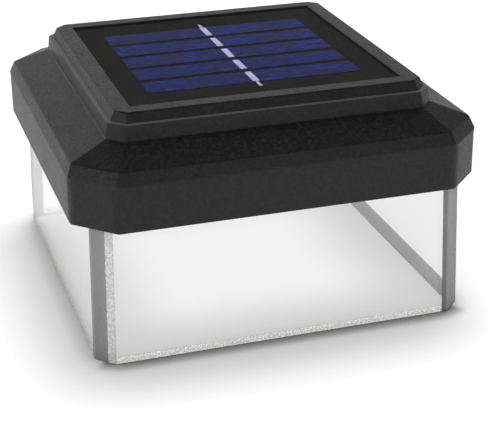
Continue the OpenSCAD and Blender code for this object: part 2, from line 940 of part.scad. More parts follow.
module switch_body() {
    color([0.15, 0.15, 0.16])
        difference() {
            block([switch_w, switch_w, switch_h], [switch_x, switch_y, deck_z]);
            rod(stem_d + 2*stem_gap, chamber_top - deck_z + 1, [switch_x, switch_y, deck_z - 1]);
            rod(collar_d + 2*collar_gap, chamber_top - chamber_z, [switch_x, switch_y, chamber_z]);
        }
}

module switch_button() {
    color([0.75, 0.1, 0.08]) {
        rod(button_d, button_high - button_low, [switch_x, switch_y, button_low]);
        rod(stem_d, stem_top - button_low, [switch_x, switch_y, button_low]);
        rod(collar_d, collar_t, [switch_x, switch_y, chamber_z + slip]);
    }
}

// ---- Wires ----

// From the panel's underside through the roof's hole to the board
module panel_wire(s) {
    start = [board_x + s*wire_apart, board_y, panel_z];
    end = [board_x - pad_end + s*wire_apart, pad_back, board_top];
    wire([start, start - [0, 0, wire_lead], [(start[0] + end[0])/2, start[1] + 1, roof_z - wire_lead],
        end + [0, -wire_d, 2*wire_lead], end + [0, 0, wire_lead], end]);
}

module panel_wire_red() {
    color([0.7, 0.06, 0.05])
        panel_wire(1);
}

module panel_wire_black() {
    color(black)
        panel_wire(-1);
}

// From a contact's tab round the front of the battery box and down to the board
module battery_wire(s) {
    start = [s*tab_end, tab_y, cell_axis_z];
    front = bay_y - bay_w/2 - bay_t - wire_lead;
    end = [board_x + s*(board_l/2 - pad_end), pad_back, board_top];
    wire([start, start + [s*wire_lead, 0, 0], [s*(tab_end + wire_d), front, cell_axis_z],
        end + [s*2*wire_lead, wire_d, 1.5*wire_lead], end + [0, 0, wire_lead], end]);
}

module battery_wire_red() {
    color([0.7, 0.06, 0.05])
        battery_wire(1);
}

module battery_wire_black() {
    color(black)
        battery_wire(-1);
}

module switch_wires() {
    color([0.75, 0.75, 0.72])
        for (s = [-1, 1]) {
            start = [switch_x - switch_w/2, switch_y + 2*s*wire_apart, deck_z + 0.8*switch_h];
            end = [board_x + board_l/2 - pad_edge, switch_y + 2*s*wire_apart, board_top];
            wire([start, start - [wire_lead, 0, 0], end + [1, 0, 1.4*wire_lead],
                end + [0, 0, wire_lead], end]);
        }
}

// A pair from the board to the front LED board, and pairs round three corners to the other boards
module led_wires() {
    low = deck_z + led_board_t;
    high = low + wire_lead;
    color([0.75, 0.75, 0.72]) {
        for (s = [-1, 1]) {
            start = [board_x + s*wire_apart, pad_front, board_top];
            end = [board_x + s*wire_apart, -skirt_mid, low];
            wire([start, start + [0, 0, wire_lead], start + [0, -2*wire_lead, wire_lead],
                end + [0, 4*wire_lead, wire_lead + wire_d], end + [0, 0, wire_lead], end]);
        }
        for (side = [0:2])
            on_side(side)
                for (s = [-1, 1]) {
                    a = led_l/2 - 2;
                    m = skirt_mid - s*wire_apart;
                    bend = m - 2*wire_lead;
                    wire([[a, -m, low], [a, -m, high], [a + wire_lead, -m + 1, high],
                        [bend, -bend, high], [m - 1, -a - wire_lead, high], [m, -a, high],
                        [m, -a, low]]);
                }
    }
}

cap_shell();
panel_pad();
panel_board();
solar_cells();
cell_ribbons();
panel_resin();
chassis();
chassis_gasket();
chassis_screws();
clear_skirt();
skirt_screws();
circuit_board();
board_screws();
driver_chip();
boost_coil();
capacitor();
resistor();
led_board_front();
led_board_right();
led_board_back();
led_board_left();
leds_front();
leds_right();
leds_back();
leds_left();
panel_wire_red();
panel_wire_black();
battery_wire_red();
battery_wire_black();
switch_wires();
led_wires();
battery_box();
positive_contact();
negative_contact();
negative_spring();
battery_can();
battery_sleeve();
battery_door();
door_gasket();
door_screws();
switch_body();
switch_button();
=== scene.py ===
"""Looks of a solar light for the top of a deck post, dressed around its packed construction model.

A black moulded cap with a solar panel in its roof stands on a clear, open-bottomed skirt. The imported
model gives every size and place; the pieces that show get softened edges and fine detail here, and
every piece gets its own finish. All lengths are metres, Z is up and the front looks to -Y.
"""

import logging
import math
from collections.abc import Callable, Iterable, Iterator, Sequence
from contextlib import contextmanager
from dataclasses import dataclass
from enum import Enum
from typing import Any

import bmesh
import bpy
from mathutils import Matrix, Vector


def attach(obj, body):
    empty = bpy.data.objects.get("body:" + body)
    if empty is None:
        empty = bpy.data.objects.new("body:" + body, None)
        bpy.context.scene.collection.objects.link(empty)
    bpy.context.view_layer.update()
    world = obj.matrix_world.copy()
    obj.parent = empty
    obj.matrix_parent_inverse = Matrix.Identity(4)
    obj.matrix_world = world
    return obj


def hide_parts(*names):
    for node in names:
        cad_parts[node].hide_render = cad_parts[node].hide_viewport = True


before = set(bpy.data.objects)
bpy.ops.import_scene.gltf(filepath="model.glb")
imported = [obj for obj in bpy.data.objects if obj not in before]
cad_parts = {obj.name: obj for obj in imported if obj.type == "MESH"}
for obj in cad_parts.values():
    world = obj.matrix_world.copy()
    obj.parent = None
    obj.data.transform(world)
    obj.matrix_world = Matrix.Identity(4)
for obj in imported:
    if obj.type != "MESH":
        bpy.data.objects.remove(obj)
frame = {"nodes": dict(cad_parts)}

log = logging.getLogger("post_cap_light")

MM = 0.001
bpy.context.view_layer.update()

Colour = tuple[float, float, float]
Point = tuple[float, float, float]
Span = tuple[float, float]
Test = Callable[[Vector, Vector], bool]

ORIGIN: Point = (0.0, 0.0, 0.0)
EVEN: Point = (1.0, 1.0, 1.0)
LEFT: Point = (-1.0, 0.0, 0.0)
RIGHT: Point = (1.0, 0.0, 0.0)
DOWN: Point = (0.0, 0.0, -1.0)
UP: Point = (0.0, 0.0, 1.0)
ALIGNED = 0.9  # the cosine above which two directions count as one
OVERCUT = MM  # how far a cutter starts outside what it cuts

BLACK: Colour = (0.0, 0.0, 0.0)
WHITE: Colour = (1.0, 1.0, 1.0)


class Body(Enum):
    """The moving bodies of the light."""

    LIGHT = "light"
    DOOR = "door"
    CELL = "cell"
    BUTTON = "button"


class Kind(Enum):
    """What a selection in edit mode is made of, in the order of the select mode's three switches."""

    VERT = "VERT"
    EDGE = "EDGE"
    FACE = "FACE"


class Mix(Enum):
    """How one solid is combined with another."""

    ADD = "UNION"
    CUT = "DIFFERENCE"


# ---------------------------------------------------------------------------------------------
# Shader graphs
# ---------------------------------------------------------------------------------------------


class Signal:
    """A socket of a node graph. Arithmetic on it adds the Math nodes that work it out."""

    def __init__(self, graph: "Graph", socket: bpy.types.NodeSocket | None) -> None:
        """Wraps an output socket of a graph, or nothing for a node that has none."""
        self.graph = graph
        self.socket = socket

    def math(self, operation: str, *values: "Signal | float") -> "Signal":
        """Adds a Math node.

        Args:
            operation: The Math node's operation.
            *values: The values of its sockets, in order.

        Returns:
            The node's result.
        """
        return self.graph.node("ShaderNodeMath", {"operation": operation}, dict(enumerate(values)))

    def __add__(self, other: "Signal | float") -> "Signal":
        """Sum."""
        return self.math("ADD", self, other)

    def __radd__(self, other: float) -> "Signal":
        """Sum, with the number first."""
        return self.math("ADD", other, self)

    def __sub__(self, other: "Signal | float") -> "Signal":
        """Difference."""
        return self.math("SUBTRACT", self, other)

    def __rsub__(self, other: float) -> "Signal":
        """Difference, with the number first."""
        return self.math("SUBTRACT", other, self)

    def __mul__(self, other: "Signal | float") -> "Signal":
        """Product."""
        return self.math("MULTIPLY", self, other)

    def __rmul__(self, other: float) -> "Signal":
        """Product, with the number first."""
        return self.math("MULTIPLY", other, self)

    def __truediv__(self, other: "Signal | float") -> "Signal":
        """Quotient."""
        return self.math("DIVIDE", self, other)

    def __abs__(self) -> "Signal":
        """Size without sign."""
        return self.math("ABSOLUTE", self)

    def either(self, other: "Signal | float") -> "Signal":
        """The greater of two, which is where either mask holds."""
        return self.math("MAXIMUM", self, other)

    def rise(self, low: float, high: float, start: float = 0.0, end: float = 1.0) -> "Signal":
        """A smooth step from one value to another.

        Args:
            low: The value at which the step starts.
            high: The value at which it ends. It may be less than low.
            start: The result before the step.
            end: The result after it.

        Returns:
            The stepped value.
        """
        settings = {"interpolation_type": "SMOOTHSTEP"}
        inputs = {"Value": self, "From Min": low, "From Max": high, "To Min": start, "To Max": end}
        return self.graph.node("ShaderNodeMapRange", settings, inputs)


class Graph:
    """Builds the nodes of one material or world."""

    # A Mix node names its sockets alike for every kind of data, so those for colour go by number.
    MIX_FACTOR, MIX_OFF, MIX_ON, MIX_RESULT = 0, 6, 7, 2

    def __init__(self, tree: bpy.types.NodeTree) -> None:
        """Empties a node tree and works on it."""
        self.tree = tree
        tree.nodes.clear()

    def node(
        self,
        kind: str,
        settings: dict[str, Any] | None = None,
        inputs: dict[str | int, Any] | None = None,
        output: str | int = 0,
    ) -> Signal:
        """Adds any node.

        Args:
            kind: The node's type.
            settings: Its settings, such as an operation.
            inputs: The values or links of its sockets, by name or number.
            output: The socket to hand back, by name or number.

        Returns:
            That socket as a signal.
        """
        made = self.tree.nodes.new(kind)
        for name, value in (settings or {}).items():
            setattr(made, name, value)
        for name, value in (inputs or {}).items():
            if isinstance(value, Signal):
                self.tree.links.new(value.socket, made.inputs[name])
            else:
                made.inputs[name].default_value = value
        return Signal(self, made.outputs[output] if made.outputs else None)

    def place(self, stretch: Point = EVEN, turn: Point = ORIGIN) -> Signal:
        """The point on the piece, stretched and turned for a pattern that isn't the same all ways.

        Args:
            stretch: The factors along X, Y and Z.
            turn: The turns about X, Y and Z in radians.

        Returns:
            The point.
        """
        coordinates = self.node("ShaderNodeTexCoord", output="Object")
        if (stretch, turn) == (EVEN, ORIGIN):
            return coordinates
        inputs = {"Vector": coordinates, "Scale": stretch, "Rotation": turn}
        return self.node("ShaderNodeMapping", inputs=inputs)

    def axis(self, name: str, at: Signal | None = None) -> Signal:
        """The "X", "Y" or "Z" of a point, which is the point on the piece if none is given."""
        return self.node("ShaderNodeSeparateXYZ", inputs={0: at or self.place()}, output=name)

    def noise(self, grain: float, detail: float = 2.0, at: Signal | None = None) -> Signal:
        """Cloudy noise.

        Args:
            grain: The size of its largest clouds.
            detail: How many finer layers it has.
            at: The point it is read at, if not the plain place on the piece.

        Returns:
            A value about 0.5.
        """
        inputs = {"Vector": at or self.place(), "Scale": 1 / grain, "Detail": detail}
        return self.node("ShaderNodeTexNoise", inputs=inputs)

    def crystals(self, grain: float, at: Signal | None = None, output: str = "Color") -> Signal:
        """Cells of a Voronoi pattern of about one grain's size."""
        inputs = {"Vector": at or self.place(), "Scale": 1 / grain}
        return self.node("ShaderNodeTexVoronoi", inputs=inputs, output=output)

    def level(self, colour: Signal) -> Signal:
        """The red of a colour as a plain value."""
        return self.node("ShaderNodeSeparateColor", inputs={0: colour}, output=0)

    def blend(self, mask: Signal | float, off: Any, on: Any) -> Signal:
        """Goes from one colour to another by a mask."""
        inputs = {self.MIX_FACTOR: mask, self.MIX_OFF: self._rgba(off), self.MIX_ON: self._rgba(on)}
        return self.node("ShaderNodeMix", {"data_type": "RGBA"}, inputs, self.MIX_RESULT)

    def mix(self, mask: Signal | float, off: Signal, on: Signal) -> Signal:
        """Goes from one shader to another by a mask."""
        return self.node("ShaderNodeMixShader", inputs=dict(enumerate((mask, off, on))))

    def bump(self, height: Signal, depth: float, strength: float = 1.0) -> Signal:
        """Turns a height into a normal.

        Args:
            height: The height, about 0 to 1.
            depth: The real height that 1 stands for.
            strength: The share of the effect.

        Returns:
            The normal.
        """
        inputs = {"Height": height, "Distance": depth, "Strength": strength}
        return self.node("ShaderNodeBump", inputs=inputs)

    def surface(self, **inputs: Any) -> Signal:
        """Adds a Principled shader, its sockets named with underscores for spaces."""
        named = {name.replace("_", " "): self._rgba_if_colour(value) for name, value in inputs.items()}
        return self.node("ShaderNodeBsdfPrincipled", inputs=named)

    def glow(self, colour: Colour | Signal = WHITE, strength: Signal | float = 1.0) -> Signal:
        """Adds an Emission shader."""
        inputs = {"Color": self._rgba(colour), "Strength": strength}
        return self.node("ShaderNodeEmission", inputs=inputs)

    def out(self, shader: Signal, kind: str = "ShaderNodeOutputMaterial") -> None:
        """Links a shader to the output."""
        self.node(kind, inputs={"Surface": shader})

    @staticmethod
    def _rgba(value: Any) -> Any:
        """A colour with its alpha, or a signal as it is."""
        return value if isinstance(value, Signal) else (*value, 1.0)

    @classmethod
    def _rgba_if_colour(cls, value: Any) -> Any:
        """Adds alpha to a plain colour and leaves anything else."""
        return cls._rgba(value) if isinstance(value, tuple) and len(value) == 3 else value


# ---------------------------------------------------------------------------------------------
# Finishes
# ---------------------------------------------------------------------------------------------


def toned(colour: Colour, share: float) -> Colour:
    """A colour made darker or lighter by a factor."""
    red, green, blue = (value * share for value in colour)
    return red, green, blue


@dataclass(frozen=True)
class Finish:
    """A finish that a material is made from."""

    name: str

    def draw(self, graph: Graph) -> Signal:
        """Draws the finish.

        Args:
            graph: The material's graph.

        Returns:
            The finish's shader.
        """
        raise NotImplementedError

    def material(self) -> bpy.types.Material:
        """The finish's material, made once.

        Returns:
            The material, with its nodes.
        """
        title = f"finish_{self.name}"
        known = bpy.data.materials.get(title)
        if known:
            return known
        made = bpy.data.materials.new(title)
        made.use_nodes = True
        graph = Graph(made.node_tree)
        graph.out(self.draw(graph))
        return made


@dataclass(frozen=True)
class MouldedPlastic(Finish):
    """Moulded plastic or rubber: a fine grain, and faint clouds where the melt flowed."""

    colour: Colour
    roughness: float = 0.4
    grain: float = 0.35 * MM
    depth: float = 0.012 * MM
    clouds: float = 0.1
    cloud_size: float = 14 * MM
    cloud_span: Span = (0.3, 0.7)
    cloud_gloss: float = 0.2
    specular: float = 0.5
    mottle: float = 0.06

    def draw(self, graph: Graph) -> Signal:
        """Draws the finish.

        Args:
            graph: The material's graph.

        Returns:
            The plastic's shader.
        """
        flow = graph.noise(self.cloud_size, detail=3.0)
        fine = graph.noise(self.grain, detail=1.0)
        gloss = 1 + self.cloud_gloss * (flow - 0.5)
        return graph.surface(
            Base_Color=self.colouring(graph, flow),
            Roughness=self.roughness * gloss + self.mottle * (fine - 0.5),
            Specular_IOR_Level=self.specular,
            Normal=graph.bump(fine, self.depth),
        )

    def colouring(self, graph: Graph, flow: Signal) -> Signal:
        """The plastic's colour, a little lighter and darker where the melt flowed."""
        darker, lighter = (toned(self.colour, 1 + way * self.clouds) for way in (-1, 1))
        return graph.blend(flow.rise(*self.cloud_span), darker, lighter)


@dataclass(frozen=True)
class LipHighlightPlastic(MouldedPlastic):
    """Textured plastic with pale flecks, and a painted highlight along one level lip."""

    lip_low: float = 0.0
    lip_high: float = 0.0
    lip_edge: float = 0.02 * MM
    # The colour of the painted highlight on the lip.
    lip_highlight: Colour = (0.07, 0.07, 0.068)
    highlight_patch_size: float = 6 * MM
    highlight_patch_span: Span = (0.2, 0.5)
    least_highlight: float = 0.6
    fleck: Colour = (0.0105, 0.0103, 0.0101)
    fleck_size: float = 1.1 * MM
    fleck_span: Span = (0.42, 0.68)

    def colouring(self, graph: Graph, flow: Signal) -> Signal:
        """The plastic's colour with its flecks, and a painted highlight on the lip between its two heights.

        Args:
            graph: The material's graph.
            flow: The clouds where the melt flowed.

        Returns:
            The colour.
        """
        flecks = graph.noise(self.fleck_size, detail=4.0).rise(*self.fleck_span)
        body = graph.blend(flecks, super().colouring(graph, flow), self.fleck)
        # A painted highlight on the lip between its two heights, broken into patches by noise.
        up, edge = graph.axis("Z"), self.lip_edge
        lip = up.rise(self.lip_low - edge, self.lip_low) * up.rise(self.lip_high + edge, self.lip_high)
        highlit = lip * graph.noise(self.highlight_patch_size).rise(*self.highlight_patch_span, self.least_highlight)
        return graph.blend(highlit, body, self.lip_highlight)


@dataclass(frozen=True)
class SkirtZones:
    """Masks of the skirt's zones, each 1 inside its zone.

    They are the faces of the cut corners, the frosted strip on them, the painted shade that wraps round
    from them onto the walls, both zones of painted shade together, the line beside the corners that
    gets a painted highlight, the walls' inner sides, the right and the left wall, and the frosted rim
    at the bottom.
    """

    corner: Signal
    strip: Signal
    wrapped: Signal
    shade_zone: Signal
    seam: Signal
    inside: Signal
    right: Signal
    left: Signal
    rim: Signal


@dataclass(frozen=True)
class ClearPlastic(Finish):
    """The skirt: clear moulding, frosted along its bottom rim and on one side of the left cut corners.

    The rim has a painted glow, and the cut corners carry painted shade for the dark cap seen through
    them, with a painted highlight along a line beside them. The lengths up to `corner` are the
    skirt's own. The bands are the heights of the frosted rim: outside, inside the right wall and
    inside the other walls; the taller band inside the right wall is a painted reflection.
    """

    half_low: float
    flare: float
    height: float
    corner: float
    band: float = 2.1 * MM
    # The band inside the right wall, taller than the others as a painted reflection.
    right_reflection_band: float = 6.4 * MM
    end_band: float = 1.2 * MM
    edge: float = 0.1 * MM
    ragged: float = 0.9 * MM
    ragged_rim: float = 0.4
    corner_span: Span = (-0.5 * MM, -0.2 * MM)
    skin_span: Span = (1.2 * MM, 1.6 * MM)
    wrap: float = 2.0 * MM
    # Where the painted highlight line lies beside each corner, and its half width.
    highlight_line_at: float = -0.3 * MM
    highlight_line_half: float = 0.4 * MM
    tint: Colour = (0.99, 0.99, 0.99)
    polish: float = 0.01
    index: float = 1.49
    speck_size: float = 0.36 * MM
    sparkle_span: Span = (0.35, 0.9)
    grain: float = 0.4 * MM
    frost: Colour = (0.72, 0.71, 0.69)
    glint: Colour = (1.0, 1.0, 0.97)
    # The colour of the rim's painted glow, an emission.
    rim_glow: Colour = (0.38, 0.38, 0.37)
    haze_span: Span = (0.35, 0.65)
    haze: Colour = (0.74, 0.71, 0.72)
    haze_light: Colour = (0.98, 0.95, 0.96)
    # Colours of the painted shade at the corners and of the painted highlight beside them.
    painted_shade_span: Span = (0.3, 0.7)
    painted_shade: Colour = (0.22, 0.215, 0.22)
    painted_shade_pale: Colour = (0.36, 0.35, 0.36)
    line_highlight: Colour = (0.42, 0.41, 0.42)
    matt: float = 0.4
    matt_swing: float = 0.3
    sanding: float = 0.12 * MM
    sanding_share: float = 0.7
    rim_cover: float = 0.55
    rim_sparkle: float = 0.3
    side_cover: float = 0.2
    side_dulling: float = 0.1
    strip_cover: float = 0.96
    shade_cover: float = 0.97

    def draw(self, graph: Graph) -> Signal:
        """Draws the finish: clear plastic, with sanded plastic over it where a zone is covered.

        Args:
            graph: The material's graph.

        Returns:
            The skirt's shader.
        """
        zones = self.zones(graph)
        speck = graph.level(graph.crystals(self.speck_size))
        sparkle = speck.rise(*self.sparkle_span)
        clear = graph.surface(
            Base_Color=self.tint, Roughness=self.polish, IOR=self.index, Transmission_Weight=1.0
        )
        side = zones.inside * zones.right * (self.side_cover - self.side_dulling * sparkle)
        foot = zones.rim * (self.rim_cover + self.rim_sparkle * sparkle + side)
        cover = foot.either(zones.strip * self.strip_cover).either(zones.shade_zone * self.shade_cover)
        return graph.mix(cover, clear, self.sanded(graph, zones, speck, sparkle))

    def zones(self, graph: Graph) -> SkirtZones:
        """Finds the skirt's zones from the place on it.

        Args:
            graph: The material's graph.

        Returns:
            The zones.
        """
        x, y, up = (graph.axis(name) for name in "XYZ")
        edge, third = self.edge, self.corner / 3
        ragged = (graph.noise(self.ragged, detail=3.0) - 0.5) * self.ragged
        wall = self.half_low - up * (self.flare / self.height)
        # Reach is 0 on a cut corner's face and less inside it. Lean runs along that face from its middle.
        reach = abs(x) + abs(y) - 2 * wall + self.corner
        corner = reach.rise(*self.corner_span)
        lean = (abs(y) - abs(x)) * x.math("SIGN", x * y) + ragged
        # Only the two corners on the left have the frosted strip.
        strip = corner * lean.rise(third - edge, third + edge) * x.rise(0.0, -MM)
        wrapped = reach.rise(-self.wrap - edge, edge - self.wrap) * lean.rise(0.0, -edge)
        # The corners and the wrap beside them get painted shade, except the frosted strip.
        shade_zone = corner.either(wrapped) * (1 - strip)
        inside = (wall - abs(x).either(abs(y))).rise(*self.skin_span) * (1 - corner)
        right, left = ((out - abs(y)).rise(0.0, edge) for out in (x, 0.0 - x))
        # The taller band inside the right wall is a painted reflection along that wall's foot.
        inner_band = right * (self.right_reflection_band - self.end_band) + (self.end_band - self.band)
        over_rim = up - (self.band + inside * inner_band) + self.ragged_rim * ragged
        return SkirtZones(
            corner=corner,
            strip=strip,
            wrapped=wrapped,
            shade_zone=shade_zone,
            seam=abs(reach - self.highlight_line_at).rise(self.highlight_line_half, edge),
            inside=inside,
            right=right,
            left=left,
            rim=over_rim.rise(edge, -edge) * (1 - shade_zone),
        )

    def sanded(self, graph: Graph, zones: SkirtZones, speck: Signal, sparkle: Signal) -> Signal:
        """The sanded plastic: pale and sparkling at the rim with a painted glow, hazy in the painted
        reflection inside the right wall, and painted dark shade at the corners.

        Args:
            graph: The material's graph.
            zones: The skirt's zones.
            speck: The sanding's specks.
            sparkle: The specks that shine.

        Returns:
            Its shader.
        """
        grain = graph.noise(self.grain, detail=3.0)
        pale = graph.blend(sparkle, self.frost, self.glint)
        hazy = graph.blend(grain.rise(*self.haze_span), self.haze, self.haze_light)
        pale = graph.blend(zones.inside * zones.right, pale, hazy)
        # Painted shade for the dark cap seen through the corners: lighter towards the top and at random,
        # darker where it wraps onto the walls.
        shade_lift = grain.rise(*self.painted_shade_span, end=0.5) + graph.axis("Z").rise(0.0, self.height, end=0.5)
        shade_level = shade_lift - 0.5 * zones.wrapped * (1 - zones.corner)
        painted_shade = graph.blend(shade_level, self.painted_shade, self.painted_shade_pale)
        # A painted highlight along the line beside each corner.
        painted_shade = graph.blend(zones.seam, painted_shade, self.line_highlight)
        # Painted light: the rim glows, except inside, on the strip and on the left wall.
        rim_glow = zones.rim * (1 - zones.inside) * (1 - zones.strip) * (1 - zones.left)
        return graph.surface(
            Base_Color=graph.blend(zones.shade_zone, pale, painted_shade),
            Emission_Color=graph.blend(rim_glow, BLACK, self.rim_glow),
            Emission_Strength=1.0,
            Roughness=self.matt + self.matt_swing * speck,
            Normal=graph.bump(speck + grain, self.sanding, self.sanding_share),
        )


@dataclass(frozen=True)
class SolarCell(Finish):
    """Blue polycrystalline silicon: crystal patches, fine streaks along the strip and speckle.

    Each strip darkens to a border along its long edges. `pitch` and `half_width` are the strips'.
    """

    pitch: float
    half_width: float
    deep: Colour = (0.002, 0.004, 0.036)
    blue: Colour = (0.004, 0.009, 0.09)
    pale: Colour = (0.02, 0.034, 0.2)
    blue_span: Span = (0.4, 0.58)
    pale_span: Span = (0.56, 0.68)
    patch_size: float = 2.2 * MM
    patch_stretch: Point = (0.35, 1.0, 1.0)
    patch_turn: Point = (0.0, 0.0, 0.5)
    patch_share: float = 0.2
    streak_size: float = 0.5 * MM
    streak_stretch: Point = (0.16, 1.0, 1.0)
    streak_turn: Point = (0.0, 0.0, 0.06)
    streak_share: float = 0.55
    speck_size: float = 0.35 * MM
    speck_share: float = 0.35
    border: Colour = (0.004, 0.006, 0.022)
    border_edge: float = 0.12 * MM
    roughness: float = 0.36
    patch_gloss: float = 0.15
    specular: float = 0.02
    depth: float = 0.01 * MM

    def draw(self, graph: Graph) -> Signal:
        """Draws the finish.

        Args:
            graph: The material's graph.

        Returns:
            The cells' shader.
        """
        turned = graph.place(self.patch_stretch, self.patch_turn)
        patch = graph.level(graph.crystals(self.patch_size, turned))
        streak = graph.noise(self.streak_size, at=graph.place(self.streak_stretch, self.streak_turn))
        speck = graph.noise(self.speck_size)
        mottle = self.patch_share * patch + self.streak_share * streak + self.speck_share * speck
        base = graph.blend(mottle.rise(*self.blue_span), self.deep, self.blue)
        base = graph.blend(mottle.rise(*self.pale_span), base, self.pale)
        strip = graph.axis("Y") / self.pitch + 0.5
        across = abs(strip - strip.math("FLOOR", strip) - 0.5) * self.pitch
        across = across + (streak - 0.5) * self.streak_size
        edge = across.rise(self.half_width, self.half_width + self.border_edge)
        return graph.surface(
            Base_Color=graph.blend(edge, base, self.border),
            Roughness=self.roughness + self.patch_gloss * patch,
            Specular_IOR_Level=self.specular,
            Normal=graph.bump(speck, self.depth),
        )


@dataclass(frozen=True)
class Metal(Finish):
    """Metal with fine brushing or tinning, dulled in patches."""

    colour: Colour
    roughness: float = 0.3
    grain: float = 0.3 * MM
    stretch: Point = EVEN
    depth: float = 0.006 * MM
    metallic: float = 1.0
    dull_size: float = 3 * MM
    dull_span: Span = (0.35, 0.75)
    dull_tone: float = 0.72
    dull_gloss: float = 0.1
    brushed_gloss: float = 0.16
    brushed_middle: float = 0.4

    def draw(self, graph: Graph) -> Signal:
        """Draws the finish.

        Args:
            graph: The material's graph.

        Returns:
            The metal's shader.
        """
        brushed = graph.noise(self.grain, at=graph.place(self.stretch))
        dull = graph.noise(self.dull_size, detail=3.0)
        bright = dull.rise(*self.dull_span, 1.0, 0.0)
        gloss = self.brushed_gloss * (brushed - self.brushed_middle) + self.dull_gloss * (dull - 0.5)
        return graph.surface(
            Base_Color=graph.blend(bright, toned(self.colour, self.dull_tone), self.colour),
            Metallic=self.metallic,
            Roughness=self.roughness + gloss,
            Normal=graph.bump(brushed, self.depth),
        )


@dataclass(frozen=True)
class Resin(Finish):
    """The panel's thin clear top layer, which adds only a faint gloss."""

    body: Colour = (0.03, 0.03, 0.033)
    roughness: float = 0.35
    specular: float = 0.15
    strength: float = 0.04
    ripple_size: float = 5 * MM
    ripple_gloss: float = 0.1
    depth: float = 0.01 * MM

    def draw(self, graph: Graph) -> Signal:
        """Draws the finish.

        Args:
            graph: The material's graph.

        Returns:
            The resin's shader.
        """
        ripple = graph.noise(self.ripple_size)
        return graph.surface(
            Base_Color=self.body,
            Roughness=self.roughness + self.ripple_gloss * ripple,
            Specular_IOR_Level=self.specular,
            Alpha=self.strength,
            Normal=graph.bump(ripple, self.depth),
        )


@dataclass(frozen=True)
class CircuitMask(Finish):
    """Solder mask over copper tracks, which show as a lighter tone and a low relief."""

    mask: Colour
    track: Colour
    pitch: float = 2.54 * MM
    stretch: Point = (0.45, 1.0, 1.0)
    track_span: Span = (0.16, 0.2)
    weave_size: float = 0.4 * MM
    weave_relief: float = 0.2
    weave_gloss: float = 0.08
    roughness: float = 0.32
    depth: float = 0.03 * MM

    def draw(self, graph: Graph) -> Signal:
        """Draws the finish.

        Args:
            graph: The material's graph.

        Returns:
            The board's shader.
        """
        cells = graph.crystals(self.pitch, graph.place(self.stretch), "Distance")
        tracks = cells.rise(*self.track_span, 1.0, 0.0)
        weave = graph.noise(self.weave_size, detail=1.0)
        return graph.surface(
            Base_Color=graph.blend(tracks, self.mask, self.track),
            Roughness=self.roughness + self.weave_gloss * weave,
            Normal=graph.bump(tracks + self.weave_relief * weave, self.depth),
        )


@dataclass(frozen=True)
class Phosphor(Finish):
    """Yellow silicone of an unlit LED in its white frame."""

    frame_colour: Colour = (0.8, 0.8, 0.77)
    gel: Colour = (0.82, 0.62, 0.12)
    gel_size: float = 0.8 * MM
    gel_span: Span = (0.35, 0.6)
    roughness: float = 0.28
    gel_gloss: float = 0.15
    depth: float = 0.02 * MM

    def draw(self, graph: Graph) -> Signal:
        """Draws the finish.

        Args:
            graph: The material's graph.

        Returns:
            The LED's shader.
        """
        inside = graph.noise(self.gel_size, detail=1.0)
        return graph.surface(
            Base_Color=graph.blend(inside.rise(*self.gel_span), self.frame_colour, self.gel),
            Roughness=self.roughness + self.gel_gloss * inside,
            Normal=graph.bump(inside, self.depth),
        )


CAP_BLACK = LipHighlightPlastic(
    "cap_black",
    (0.0042, 0.0041, 0.004),
    roughness=0.47,
    grain=0.8 * MM,
    depth=0.09 * MM,
    specular=0.34,
    mottle=0.3,
    lip_low=67.16 * MM,
    lip_high=67.3 * MM,
)
CHASSIS_BLACK = MouldedPlastic("chassis_black", (0.014, 0.014, 0.0145), roughness=0.5, depth=0.02 * MM)
PANEL_BLACK = MouldedPlastic("panel_black", (0.02, 0.02, 0.019), roughness=0.5, grain=0.2 * MM, specular=0.0)
FOAM = MouldedPlastic("adhesive_foam", (0.04, 0.04, 0.042), roughness=0.85, grain=0.5 * MM, depth=0.05 * MM)
SILICONE = MouldedPlastic("gasket_silicone", (0.07, 0.07, 0.075), roughness=0.6, specular=0.4)
SWITCH_BLACK = MouldedPlastic("switch_black", (0.02, 0.02, 0.021), roughness=0.45)
BUTTON_RED = MouldedPlastic("button_red", (0.42, 0.018, 0.012), roughness=0.32, clouds=0.08)
CHIP_BLACK = MouldedPlastic("chip_epoxy", (0.015, 0.015, 0.016), roughness=0.55, depth=0.02 * MM)
COIL_BROWN = MouldedPlastic("coil_ferrite", (0.1, 0.055, 0.035), roughness=0.4, grain=0.3 * MM)
CAPACITOR_BLUE = MouldedPlastic("capacitor_sleeve", (0.02, 0.03, 0.12), roughness=0.25, clouds=0.06)
RESISTOR_TAN = MouldedPlastic("resistor_lacquer", (0.45, 0.3, 0.14), roughness=0.3)
WIRE_RED = MouldedPlastic("wire_red", (0.4, 0.015, 0.012), roughness=0.35)
WIRE_BLACK = MouldedPlastic("wire_black", (0.014, 0.014, 0.014), roughness=0.35)
WIRE_GREY = MouldedPlastic("wire_grey", (0.36, 0.36, 0.34), roughness=0.38)
CELL_GREEN = MouldedPlastic("cell_sleeve_green", (0.02, 0.13, 0.05), roughness=0.25, clouds=0.05)
BOARD_GREEN = CircuitMask("board_green", (0.012, 0.1, 0.035), (0.03, 0.2, 0.07))
BOARD_WHITE = CircuitMask("led_board_white", (0.72, 0.72, 0.7), (0.82, 0.82, 0.8))
CELL_BLUE = SolarCell("cell_blue", pitch=12.02 * MM, half_width=4.75 * MM)
TIN_PAD = Metal("tinned_pad", (0.56, 0.56, 0.86), roughness=0.5, depth=0.02 * MM, metallic=0.1)
SOLDER = Metal("solder", (0.62, 0.62, 0.58), roughness=0.34, grain=0.5 * MM, metallic=0.35)
SCREW_STEEL = Metal("screw_steel", (0.58, 0.58, 0.6), roughness=0.27)
NICKEL = Metal("contact_nickel", (0.66, 0.64, 0.6), roughness=0.18, stretch=(1.0, 0.1, 1.0))
CAN_STEEL = Metal("cell_can_steel", (0.6, 0.6, 0.61), roughness=0.22, stretch=(0.1, 1.0, 1.0))
RESIN = Resin("panel_resin_clear")
PHOSPHOR = Phosphor("led_phosphor")


# ---------------------------------------------------------------------------------------------
# Modelling
# ---------------------------------------------------------------------------------------------


